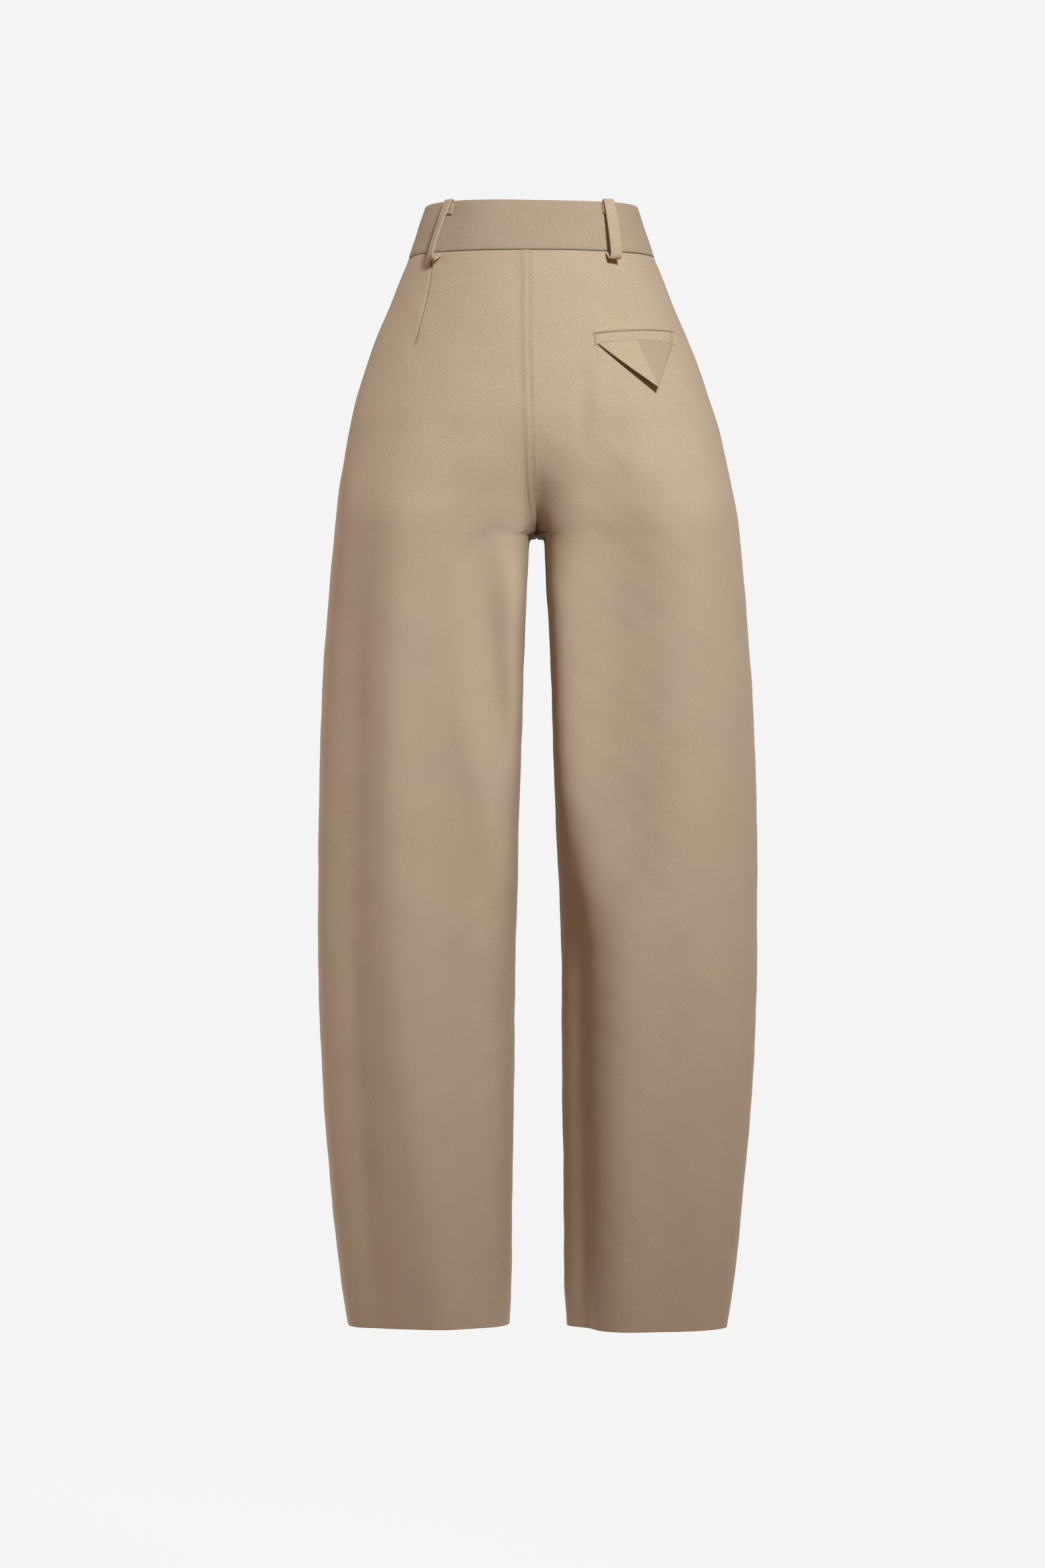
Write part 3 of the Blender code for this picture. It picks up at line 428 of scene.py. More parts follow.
def panelColumns(side, face, drop):
    # columns by the seam first, then even ones that keep their place when the legs part
    end = halfSection(side, face, drop)[1][-1]
    near = np.array(seamColumns)
    if drop >= crotch:
        inner = softCurve(drop) if drop < softInner[-1][0] else sectionAt["inner"](drop)
        corner = distanceAtX(side, face, drop, float(inner) + trousers["cornerReach"])
        near = corner * (1 - (1 - np.linspace(0, 1, len(seamColumns))) ** 1.7)
    else:
        corner = distanceAtX(side, face, drop, trousers["cornerReach"])
    if face == front:
        rest = corner + (end - corner) * np.linspace(0, 1, panelGrid["frontColumns"] + 1)
        return np.concatenate([near[:-1], rest])
    toDart = panelGrid["toDart"]
    rest = corner + (end - corner) * np.linspace(0, 1, toDart + panelGrid["pastDart"] + 1)
    centre = rest[toDart]
    inBody = 1 - float(smoothstep((drop - dart["pointDrop"]) / 0.17))
    if inBody > 0:
        centre += (distanceAtX(side, face, drop, dartX(drop)) - centre) * inBody
    beside = np.array(dartColumns) * (1 + 1.2 * (1 - inBody))
    before = corner + (rest[:toDart] - corner) * (centre + beside[0] - corner) / (rest[toDart] - corner)
    after = end - (end - rest[toDart + 1 :]) * (end - centre - beside[-1]) / (end - rest[toDart])
    return np.concatenate([near[:-1], before, centre + beside, after])


# The fly: the wearer's right front laps over the left one
fly = {"bottom": 0.205, "lap": 0.0040, "shift": 0.016, "flat": 0.022, "end": 0.038, "rise": 0.0024}
fly.update({"sewnAt": 0.034, "sewnEnd": 0.002, "turn": 0.030})


def flyRise(distance):
    return fly["rise"] * (1 - smoothstep((distance - fly["flat"]) / (fly["end"] - fly["flat"])))


def lappedRow(drop, distances):
    lapShare = 1 - float(smoothstep((drop - fly["bottom"] + 0.014) / 0.010))
    riseShare = 1 - float(smoothstep((drop - fly["bottom"] + 0.002) / 0.022))
    shift = lapShare * fly["lap"] * (1 - smoothstep(distances / fly["shift"]))
    moved = distances - shift
    ownSide = rowPoints(right, front, drop, np.maximum(moved, 0))
    otherSide = rowPoints(left, front, drop, np.maximum(-moved, 0))
    row = np.where((moved >= 0)[:, None], ownSide, otherSide)
    return row, flyRise(moved) * riseShare


def gridNormals(grid, face):
    across = np.gradient(grid, axis=1)
    down = np.gradient(grid, axis=0)
    normal = np.cross(across, down)
    normal /= np.maximum(np.linalg.norm(normal, axis=2, keepdims=True), 1e-12)
    middle = normal[grid.shape[0] // 2, grid.shape[1] // 2]
    return normal if middle[1] * face > 0 else -normal


def gridMesh(name, grid, uv, outside, paintedShades=None):
    rows, columns = grid.shape[:2]
    vertices = grid.reshape(-1, 3)
    index = np.arange(rows * columns).reshape(rows, columns)
    faces = np.stack([index[:-1, :-1], index[:-1, 1:], index[1:, 1:], index[1:, :-1]], axis=-1).reshape(-1, 4)
    mesh = bpy.data.meshes.new(name)
    mesh.from_pydata(vertices.tolist(), [], faces.tolist())
    layer = mesh.uv_layers.new(name="weave")
    corners = np.empty(len(mesh.loops), dtype=np.int32)
    mesh.loops.foreach_get("vertex_index", corners)
    layer.data.foreach_set("uv", uv.reshape(-1, 2)[corners].astype(np.float32).ravel())
    # painted shade per point, kept as the groove attribute
    if paintedShades is not None:
        shade = mesh.attributes.new("groove", "FLOAT", "POINT")
        shade.data.foreach_set("value", paintedShades.astype(np.float32).ravel())
    mesh.update()
    middle = mesh.polygons[len(mesh.polygons) // 2]
    if Vector(middle.normal).dot(Vector(outside)) < 0:
        mesh.flip_normals()
    mesh.shade_smooth()
    return mesh


def closeMesh(mesh):
    # merges doubles, fills open ends and turns all faces outwards
    work = bmesh.new()
    work.from_mesh(mesh)
    bmesh.ops.remove_doubles(work, verts=work.verts, dist=0.000001)
    bmesh.ops.holes_fill(work, edges=[edge for edge in work.edges if edge.is_boundary], sides=0)
    bmesh.ops.recalc_face_normals(work, faces=work.faces)
    work.to_mesh(mesh)
    work.free()
    mesh.shade_smooth()
    return mesh


def place(name, mesh, material):
    obj = bpy.data.objects.new(name, mesh)
    scene.collection.objects.link(obj)
    obj.data.materials.clear()
    obj.data.materials.append(material)
    return obj


def applyModifiers(obj):
    evaluated = obj.evaluated_get(bpy.context.evaluated_depsgraph_get())
    mesh = bpy.data.meshes.new_from_object(evaluated)
    obj.modifiers.clear()
    old = obj.data
    obj.data = mesh
    if old.users == 0 and isinstance(old, bpy.types.Mesh):
        bpy.data.meshes.remove(old)
    return obj


def giveWall(obj, thickness, offset=-1.0):
    wall = obj.modifiers.new("Wall", "SOLIDIFY")
    wall.thickness, wall.offset, wall.use_even_offset = thickness, offset, False
    return applyModifiers(obj)


# Materials
class Wire:  # one socket of a material, with arithmetic
    def __init__(self, paint, socket):
        self.paint, self.socket = paint, socket

    def sum(self, operation, first, second=0.0):
        return self.paint.add("ShaderNodeMath", {"operation": operation}, {0: first, 1: second})

    def __add__(self, other):
        return self.sum("ADD", self, other)

    def __radd__(self, other):
        return self.sum("ADD", other, self)

    def __sub__(self, other):
        return self.sum("SUBTRACT", self, other)

    def __mul__(self, other):
        return self.sum("MULTIPLY", self, other)


class Paint:  # one material and its nodes
    def __init__(self, name):
        self.material = bpy.data.materials.new(name)
        self.material.use_nodes = True
        self.nodes, self.links = self.material.node_tree.nodes, self.material.node_tree.links
        self.shader = self.nodes["Principled BSDF"]

    def plug(self, socket, value):
        if isinstance(value, Wire):
            self.links.new(value.socket, socket)
        else:
            socket.default_value = value

    def add(self, kind, settings=None, values=None, output=0):
        node = self.nodes.new(kind)
        for key, value in (settings or {}).items():
            if key == "stops":
                while len(node.color_ramp.elements) < len(value):
                    node.color_ramp.elements.new(0.5)
                for element, (position, color) in zip(node.color_ramp.elements, value):
                    element.position, element.color = position, color
            else:
                setattr(node, key, value)
        for key, value in (values or {}).items():
            self.plug(node.inputs[key], value)
        return Wire(self, node.outputs[output])

    def noise(self, vector, scale, detail, **more):
        values = {"Vector": vector, "Scale": scale, "Detail": detail, **more}
        return self.add("ShaderNodeTexNoise", {}, values)

    def fade(self, value, start, end, first, last):
        return self.add("ShaderNodeMapRange", {}, {0: value, 1: start, 2: end, 3: first, 4: last})

    def here(self):
        return self.add("ShaderNodeTexCoord", {}, {}, 3)

    def bump(self, strength, distance, height):
        return self.add("ShaderNodeBump", {}, {"Strength": strength, "Distance": distance, "Height": height})

    def blend(self, factor, first, second):
        return self.add("ShaderNodeMix", {"data_type": "RGBA"}, {0: factor, 6: first, 7: second}, 2)

    def finish(self, **values):
        for key, value in values.items():
            self.plug(self.shader.inputs[key.replace("_", " ")], value)
        return self.material


twill = {
    "light": (0.635, 0.485, 0.338, 1),
    "dark": (0.405, 0.292, 0.198, 1),
    "pink": (0.530, 0.366, 0.272, 1),
    "olive": (0.500, 0.398, 0.262, 1),
    # painted shade colour for seams, darts, welt edges and the crotch hollow
    "groove": (0.120, 0.074, 0.046, 1),
    "pitch": 0.00085,
    "rise": 0.00016,
    "mottle": 26.0,
    "blotch": 9.0,
    "speckle": 900.0,
}
twillColors = ("light", "dark", "pink", "olive", "groove")


def twillCloth(name, lean=1.0, shade=1.0, pinkness=0.45):
    paint = Paint(name)
    uv = paint.add("ShaderNodeUVMap", {"uv_map": "weave"})
    split = paint.add("ShaderNodeSeparateXYZ", {}, {0: uv}).socket.node
    u, v = Wire(paint, split.outputs[0]), Wire(paint, split.outputs[1])
    turns = 2 * math.pi / (twill["pitch"] * math.sqrt(2))
    shake = paint.noise(uv, 160.0, 2.0)
    phase = (u - v * lean) * turns + (shake - 0.5) * 2.2
    line = paint.add("ShaderNodeMath", {"operation": "SINE"}, {0: phase}) * 0.5 + 0.5
    crossing = (u + v * lean) * (turns * 0.83)
    bead = paint.add("ShaderNodeMath", {"operation": "SINE"}, {0: crossing}) * 0.5 + 0.5
    weave = line * (bead * 0.35 + 0.65)
    mottle = paint.noise(uv, twill["mottle"], 4.0)
    blotch = paint.noise(uv, twill["blotch"], 3.0)
    speckle = paint.noise(uv, twill["speckle"], 1.0)
    amount = weave * 0.40 + mottle * 0.22 + (speckle - 0.5) * 1.50 + 0.20
    shaded = {key: tuple(c * shade for c in twill[key][:3]) + (1,) for key in twillColors}
    color = paint.blend(amount, shaded["dark"], shaded["light"])
    spot = paint.here()
    high = paint.add("ShaderNodeSeparateXYZ", {}, {0: spot}, 2)
    lower = paint.fade(high, -0.10, -0.34, 0.15, 1.0)
    pinkHere = paint.fade(blotch, 0.42, 0.62, 0.0, pinkness) * lower
    oliveHere = paint.fade(blotch, 0.30, 0.50, 0.30, 0.0)
    color = paint.blend(pinkHere, color, shaded["pink"])
    color = paint.blend(oliveHere, color, shaded["olive"])
    # painted shade: the groove attribute darkens the cloth towards the groove colour in seams, darts, welt
    # edges and the crotch hollow
    groove = paint.add("ShaderNodeAttribute", {"attribute_name": "groove"}, {}, 2)
    color = paint.blend(groove * 0.62, color, shaded["groove"])
    height = weave * 0.8 + speckle * 0.5
    bump = paint.bump(0.55, twill["rise"], height)
    sheen = {"Sheen_Weight": 0.09, "Sheen_Roughness": 0.45, "Sheen_Tint": (0.95, 0.86, 0.74, 1)}
    roughness = 0.74 + speckle * 0.14
    return paint.finish(Base_Color=color, Roughness=roughness, Normal=bump, Specular_IOR_Level=0.28, **sheen)


def threadFinish(name, color):
    paint = Paint(name)
    place3d = paint.here()
    noise = paint.noise(place3d, 2400.0, 2.0)
    dark = tuple(c * 0.78 for c in color[:3]) + (1,)
    bump = paint.bump(0.5, 0.0001, noise)
    color = paint.blend(noise, dark, color)
    return paint.finish(Base_Color=color, Roughness=0.62 + noise * 0.1, Normal=bump, Sheen_Weight=0.25)


def hornFinish():
    paint = Paint("hornButton")
    place3d = paint.here()
    stretch = paint.add("ShaderNodeMapping", {}, {"Vector": place3d, "Scale": (1.0, 1.0, 3.2)})
    swirl = paint.noise(stretch, 170.0, 5.0, Distortion=1.4)
    stops = ((0.30, (0.105, 0.062, 0.034, 1)), (0.52, (0.270, 0.175, 0.100, 1)))
    stops += ((0.74, (0.500, 0.370, 0.240, 1)),)
    color = paint.add("ShaderNodeValToRGB", {"stops": stops}, {"Fac": swirl})
    rough = 0.26 + swirl * 0.14
    return paint.finish(Base_Color=color, Roughness=rough, Coat_Weight=0.25, Coat_Roughness=0.12)


def tapeFinish():
    paint = Paint("zipTape")
    place3d = paint.here()
    ribs = paint.add("ShaderNodeTexWave", {"bands_direction": "Z"}, {"Vector": place3d, "Scale": 420.0})
    color = paint.blend(ribs, (0.300, 0.222, 0.150, 1), (0.430, 0.325, 0.228, 1))
    bump = paint.bump(0.5, 0.0002, ribs)
    return paint.finish(Base_Color=color, Roughness=0.78 + ribs * 0.08, Normal=bump)


def metalFinish():
    paint = Paint("zipMetal")
    place3d = paint.here()
    wear = paint.noise(place3d, 700.0, 3.0)
    color = paint.blend(wear, (0.430, 0.380, 0.300, 1), (0.640, 0.580, 0.480, 1))
    return paint.finish(Base_Color=color, Metallic=1.0, Roughness=0.26 + wear * 0.18)


khaki = twillCloth("khakiTwill")
khakiBand = twillCloth("khakiBandTwill", lean=0.9, shade=0.85, pinkness=0.6)
# the flap's under half: its twill runs the other way, and it is a darker copy of the cloth, painted shade for
# the half turned away from the key light
khakiTurnedShaded = twillCloth("khakiTurnedShadedTwill", lean=-1.0, shade=0.87, pinkness=0.8)
seamThread = threadFinish("seamThread", (0.640, 0.490, 0.345, 1))
paleThread = threadFinish("paleThread", (0.800, 0.760, 0.740, 1))
horn = hornFinish()
zipTape = tapeFinish()
zipMetal = metalFinish()
print("Materials ready")


def buildPanel(name, side, face):
    drops = panelDrops(side, face)
    bareRows, rises, distances, xs, paintedShades = [], [], [], [], []
    for drop in drops:
        columns = panelColumns(side, face, drop)
        if side == right and face == front and drop < fly["bottom"] + 0.022:
            row, lift = lappedRow(drop, columns)
        else:
            row, lift = rowPoints(side, face, drop, columns), np.zeros_like(columns)
        x = side * (row[:, 0] - sectionAt["sway"](drop))
        bareRows.append(row)
        distances.append(columns)
        rises.append(lift + relief(side, face, drop, columns, x))
        xs.append(x)
        # painted shade for the seams, darts, welt edges and crotch hollow
        paintedShades.append(paintedGrooveShade(side, face, drop, columns, x))
    grid, distances, rises = np.array(bareRows), np.array(distances), np.array(rises)
    normals = gridNormals(grid, face)
    drop2d = np.array(drops)[:, None]
    edge = smoothstep((distances[:, -1:] - distances) / 0.004)  # nothing stands proud at the side seam
    rises = rises * np.where(drop2d > 0.03, edge, 1)
    moved = grid + normals * rises[..., None]
    keep = side * (moved[..., 0] - np.array([sectionAt["sway"](d) for d in drops])[:, None])
    above = drop2d < crotch
    if not (side == right and face == front):  # the middle seam stays closed
        moved[..., 0] += side * np.where(above, np.maximum(-keep, 0), 0)
        moved[:, 0, 0] -= side * np.where(above[:, 0], np.maximum(keep[:, 0], 0), 0)
    fromOutside = (distances[:, -1:] - distances) * side * face
    uv = np.stack([fromOutside + 0.5 + 0.31 * side, -np.broadcast_to(drop2d, distances.shape)], axis=-1)
    mesh = gridMesh(name, moved, uv, (0, face, 0), np.array(paintedShades))
    panel = place(name, mesh, khaki)
    giveWall(panel, trousers["cloth"])
    halfRound = float(np.mean(distances[:, -1]))
    return panel, halfRound * (trousers["hemDrop"] - bandHalf)


panels = {}
for nodeName, side, face in (
    ("back_left", left, back),
    ("back_right", right, back),
    ("front_left", left, front),
    ("front_right", right, front),
):
    panels[nodeName] = buildPanel(f"{nodeName}_cloth", side, face)
print("Leg panels made")

# Waistband: a folded strip, closed at the front with its right end over its left one
band = {"cloth": 0.0026, "proud": 0.0005, "crown": 0.0003, "underlap": 0.038}
band.update({"blend": 0.024, "roundTop": 0.0013, "turned": 0.0009})


def bandRing():
    half, fold = bandHalf, band["roundTop"]
    ring = []
    for drop in np.linspace(half - band["turned"], -half + fold, 15):
        ring.append((drop, band["crown"] * (1 - (drop / half) ** 2)))
    for turn in np.linspace(0, math.pi, 8)[1:-1]:
        ring.append((-half + fold - fold * math.sin(turn), band["cloth"] / 2 * (math.cos(turn) - 1)))
    for drop in np.linspace(-half + fold, half - band["turned"], 11):
        ring.append((drop, -band["cloth"]))
    ring += [(half - 0.0002, -band["cloth"] + 0.0006), (half - 0.0002, -0.0009), (half - 0.0004, -0.0003)]
    return ring


def bandStations(drop):
    under = band["underlap"]
    quarter = {(s, f): halfSection(s, f, drop)[1][-1] for s in (left, right) for f in (back, front)}
    beyond = fly["lap"] + band["blend"] + 0.004
    sunk = band["cloth"] + 0.0003

    def underneath(d):
        return flyRise(d) - sunk

    def blending(d):
        return (fly["rise"] - sunk) * (1 - smoothstep((d - fly["lap"] - 0.002) / band["blend"]))

    runs = (
        (right, front, under, 0.0, 10, underneath),
        (left, front, 0.0, beyond, 10, blending),
        (left, front, beyond, quarter[left, front], 34, np.zeros_like),
        (left, back, quarter[left, back], 0.0, 44, np.zeros_like),
        (right, back, 0.0, quarter[right, back], 44, np.zeros_like),
        (right, front, quarter[right, front], under, 34, np.zeros_like),
        (right, front, under, 0.0, 10, flyRise),
        (left, front, 0.0, fly["lap"], 2, lambda d: np.full_like(d, fly["rise"])),
    )
    stations = []
    for side, face, first, last, count, lift in runs:
        found = np.linspace(first, last, count + 1)
        if stations:
            found = found[1:]
        stations += [(side, face, float(d), float(lift(d))) for d in found]
    return stations


def buildBand():
    ring = bandRing()
    rows, uvRows = [], []
    for drop, offset in ring:
        row, run, before = [], 0.0, None
        for side, face, distance, lift in bandStations(drop):
            point, normal = onCloth(side, face, drop, distance)
            wave = 0.00022 * math.sin(point.x * 74 + drop * 160 + 1.1)
            wave = (wave + 0.00016 * math.sin(point.x * 141 - drop * 90)) * (1 - abs(drop) / 0.027)
            point = point + normal * (band["proud"] + offset + lift + (wave if offset > -0.001 else 0))
            dip = max(0.0, -drop / 0.025) * (1 if face == back else 0.5)
            point.z += 0.0008 * math.sin(point.x * 28 - 0.6) * dip
            if before is not None:
                run += (point - before).length
            before = point
            row.append(tuple(point))
            uvRows.append((run, -drop + (0.06 if offset < -0.0015 else 0)))
        rows.append(row)
    grid = np.array(rows + [rows[0]])
    uv = np.array(uvRows).reshape(len(ring), -1, 2)
    uv = np.concatenate([uv, uv[:1] + np.array([0, -0.002])])
    mesh = closeMesh(gridMesh("waistband_cloth", grid, uv, (0, 0, 0)))
    obj = place("waistband_cloth", mesh, khakiBand)
    length = float(np.linalg.norm(np.diff(grid[7], axis=0), axis=1).sum())
    return obj, length


bandCloth, bandLength = buildBand()
print("Waistband made", round(bandLength, 3))

# Belt loops: name, side, face, x, twist and lean. The outline is clearance from the band, and height.
loopCut = {"width": 0.0112, "cloth": 0.0017, "groove": 0.00022, "steps": 76}
loopCut.update({"tackHalf": 0.0042, "sewnAt": 0.0034})
loops = (
    ("loop_back_left", left, back, 0.0840, -24.0, 0.0),
    ("loop_back_right", right, back, 0.0742, -28.0, 0.15),
    ("loop_front_left", left, front, 0.0750, 0.0, 0.0),
    ("loop_front_right", right, front, 0.0750, 0.0, 0.0),
)
loopOutline = (
    (-0.0003, -0.0272),
    (0.0018, -0.0305),
    (0.0058, -0.0328),
    (0.0092, -0.0300),
    (0.0104, -0.0230),
    (0.0098, -0.0100),
    (0.0080, 0.0060),
    (0.0056, 0.0190),
    (0.0040, 0.0248),
    (0.0024, 0.0262),
    (0.0008, 0.0246),
    (0.0004, 0.0190),
    (0.0001, 0.0125),
)


def smoothPath(points, steps):
    p = np.array([points[0], *points, points[-1]], float)
    found = []
    for u in np.linspace(0, len(points) - 1, steps + 1):
        i = min(int(u), len(points) - 2)
        t = u - i
        a, b, c, d = p[i : i + 4]
        curved = (2 * a - 5 * b + 4 * c - d) * t**2 + (3 * b - a - 3 * c + d) * t**3
        found.append(0.5 * (2 * b + (c - a) * t + curved))
    return found


def loopLine(row):
    name, side, face, loopX, twist, lean = row
    path = smoothPath(loopOutline, loopCut["steps"])
    highest = max(clear for clear, _ in loopOutline)
    facing = onCloth(side, face, 0.0, distanceAtX(side, face, 0.0, loopX))[1]
    facing.z = 0
    facing.normalize()
    centres, acrosses = [], []
    for clear, height in path:
        drop = -float(height)
        x = loopX * sectionAt["outer"](drop) / sectionAt["outer"](0.0) + lean * float(height)
        base = np.array([distanceAtX(side, face, drop, x)])
        base = Vector(rowPoints(side, face, min(drop, 0.05), base)[0])
        centres.append(base + facing * (band["proud"] + 0.0003 + loopCut["cloth"] / 2 + float(clear)))
        turn = math.radians(twist) * float(smoothstep(clear / highest))
        acrosses.append(Matrix.Rotation(math.pi / 2 + turn, 3, "Z") @ facing)
    return centres, acrosses


def buildLoop(row):
    centres, acrosses = loopLine(row)
    halfWide, halfThick = loopCut["width"] / 2, loopCut["cloth"] / 2
    profile = []
    for sideways in (1, -1):  # a rounded tape with a groove along each folded edge
        for share in np.linspace(-0.9, 0.9, 7):
            profile.append((sideways * share * halfWide, sideways * halfThick * (1 - 0.05 * abs(share))))
        profile.append((sideways * halfWide * 0.985, sideways * halfThick * 0.55))
        profile.append((sideways * (halfWide - loopCut["groove"]), 0.0))
        profile.append((sideways * halfWide * 0.985, -sideways * halfThick * 0.55))
    rows, uvRows, run = [], [], 0.0
    for i, (centre, across) in enumerate(zip(centres, acrosses)):
        ahead = (centres[min(i + 1, len(centres) - 1)] - centres[max(i - 1, 0)]).normalized()
        across = (across - ahead * across.dot(ahead)).normalized()
        normal = across.cross(ahead)
        if i:
            run += (centre - centres[i - 1]).length
        ripple = 0.00012 * math.sin(run * 900)
        outer = [(a, b + ripple * (abs(a) > halfWide * 0.5)) for a, b in profile]
        rows.append([tuple(centre + across * a + normal * b) for a, b in outer])
        uvRows.append([(a, run) for a, b in profile])
    grid = np.array([r + [r[0]] for r in rows])
    uv = np.array([r + [r[0]] for r in uvRows])
    mesh = closeMesh(gridMesh(row[0] + "_tape", grid, uv, (0, 0, 0)))
    return place(row[0] + "_tape", mesh, khaki), run


loopTapes = {row[0]: buildLoop(row) for row in loops}
print("Belt loops made")


def onRightBack(x, drop, offset):
    distance = distanceAtX(right, back, drop, x)
    point, normal = onCloth(right, back, drop, distance)
    onWelt = pocket["innerX"] < x < pocket["outerX"] and 0.098 < drop < 0.124
    small = 0.0 if onWelt else reliefAt(right, back, drop, distance, x)
    return point + normal * (offset + small)


def buildSheet(name, downs, acrosses, pointAt, material, thickness):
    found = [[pointAt(down, across) for across in acrosses] for down in downs]
    grid, uv = (np.array([[pair[i] for pair in row] for row in found]) for i in (0, 1))
    return giveWall(place(name, gridMesh(name, grid, uv, (-0.5, 1, 0)), material), thickness)


def weltPoint(share, x):
    drop = (weltEdge(x, False) + 0.0005) * (1 - share) + weltEdge(x, True) * share
    ends = min(x - pocket["innerX"], pocket["outerX"] - x)
    crown = 0.00055 * math.sqrt(max(0.0, 1 - (2 * share - 1) ** 6))
    crown -= 0.0008 * math.exp(-ends / 0.0012)
    crown += 0.00012 * math.sin(x * 210) * math.sin(share * math.pi)
    return tuple(onRightBack(x, drop, crown - 0.0002)), (x * 1.15, -drop * 1.02 + 0.4)


weltSize = (np.linspace(0, 1, 11), np.linspace(pocket["innerX"], pocket["outerX"], 52))
weltCloth = buildSheet("pocket_welt_cloth", *weltSize, weltPoint, khaki, pocket["weltCloth"])
foldShare = (pocket["flapFoldX"] - pocket["flapInnerX"]) / (pocket["flapOuterX"] - pocket["flapInnerX"])


def flapPoint(across, down):
    # across runs 0 to 1 from the inner corner to the outer one, down 0 to 1 from the welt to the point
    topX = pocket["flapInnerX"] + (pocket["flapOuterX"] - pocket["flapInnerX"]) * across
    topDrop = weltEdge(topX, True) + 0.0002
    x = topX + (pocket["flapPointX"] - topX) * down
    drop = topDrop + (pocket["flapPointDrop"] - topDrop) * down
    outer = max(0.0, (across - foldShare) / (1 - foldShare))
    lift = pocket["flapLift"] * down**1.35 * (1 - 0.62 * outer * (1 - down))
    lift += 0.0006 * math.sin(math.pi * down) * (1 - outer)
    return x, drop, lift


def buildFlapSide(name, first, last, columns, extra, material, turned):
    def pointAt(down, across):
        x, drop, lift = flapPoint(across, down)
        edge = min(across - first, last - across) / (last - first)
        rounded = 0.0004 * (1 - math.exp(-edge * 60 * (1 - down + 0.1)))
        point = onRightBack(x, drop, 0.0004 + pocket["flapCloth"] + lift + extra + rounded)
        return tuple(point), (x + turned * 0.4, -drop + turned * x)

    downs, acrosses = np.linspace(0, 0.996, 36), np.linspace(first, last, columns)
    return buildSheet(name, downs, acrosses, pointAt, material, pocket["flapCloth"])


flapLeft = buildFlapSide("pocket_flap_fold", 0.0, foldShare, 26, 0.0004, khaki, 0.0)
# the under half wears the darker copy of the cloth, painted shade
flapRight = buildFlapSide("pocket_flap_under", foldShare - 0.012, 1.0, 24, -0.0006, khakiTurnedShaded, 1.0)
print("Pocket made")


# Stitches: a thread bead at each step along the lines of a curve, by Geometry Nodes
stitchInputs = (("Geometry", "Geometry", None), ("Pitch", "Float", 0.003), ("Stitch Length", "Float", 0.0024))
stitchInputs += (("Thread", "Float", 0.0005), ("Seed", "Int", 3), ("Finish", "Material", None))
stitchKinds = {
    "given": "NodeGroupInput",
    "result": "NodeGroupOutput",
    "steps": "GeometryNodeResampleCurve",
    "bead": "GeometryNodeMeshUVSphere",
    "size": "ShaderNodeCombineXYZ",
    "shape": "GeometryNodeTransform",
    "tangent": "GeometryNodeInputTangent",
    "turn": "FunctionNodeAlignRotationToVector",
    "chance": "FunctionNodeRandomValue",
    "beads": "GeometryNodeInstanceOnPoints",
    "real": "GeometryNodeRealizeInstances",
    "smooth": "GeometryNodeSetShadeSmooth",
    "paint": "GeometryNodeSetMaterial",
}
stitchSettings = (("steps", "mode", "LENGTH"), ("turn", "axis", "Z"), ("chance", "data_type", "FLOAT"))
stitchValues = (("bead", "Segments", 6), ("bead", "Rings", 5), ("bead", "Radius", 0.5))
stitchValues += (("chance", 2, 0.88), ("chance", 3, 1.1))
stitchLinks = (
    ("given", "Geometry", "steps", "Curve"),
    ("given", "Pitch", "steps", "Length"),
    ("given", "Thread", "size", "X"),
    ("given", "Thread", "size", "Y"),
    ("given", "Stitch Length", "size", "Z"),
    ("bead", "Mesh", "shape", "Geometry"),
    ("size", "Vector", "shape", "Scale"),
    ("tangent", "Tangent", "turn", "Vector"),
    ("given", "Seed", "chance", "Seed"),
    ("steps", "Curve", "beads", "Points"),
    ("shape", "Geometry", "beads", "Instance"),
    ("turn", "Rotation", "beads", "Rotation"),
    ("chance", 1, "beads", "Scale"),
    ("beads", "Instances", "real", "Geometry"),
    ("real", "Geometry", "smooth", "Geometry"),
    ("smooth", "Geometry", "paint", "Geometry"),
    ("given", "Finish", "paint", "Material"),
    ("paint", "Geometry", "result", "Geometry"),
)


def stitchTree():
    tree = bpy.data.node_groups.new("Stitch row", "GeometryNodeTree")
    for label, kind, value in stitchInputs:
        socket = tree.interface.new_socket(label, in_out="INPUT", socket_type="NodeSocket" + kind)
        if value is not None:
            socket.default_value = value
    tree.interface.new_socket("Geometry", in_out="OUTPUT", socket_type="NodeSocketGeometry")
    nodes = {name: tree.nodes.new(kind) for name, kind in stitchKinds.items()}
    for name, key, value in stitchSettings:
        setattr(nodes[name], key, value)
    for name, key, value in stitchValues:
        nodes[name].inputs[key].default_value = value
    for start, output, end, entry in stitchLinks:
        tree.links.new(nodes[start].outputs[output], nodes[end].inputs[entry])
    return tree


stitchNodes = stitchTree()


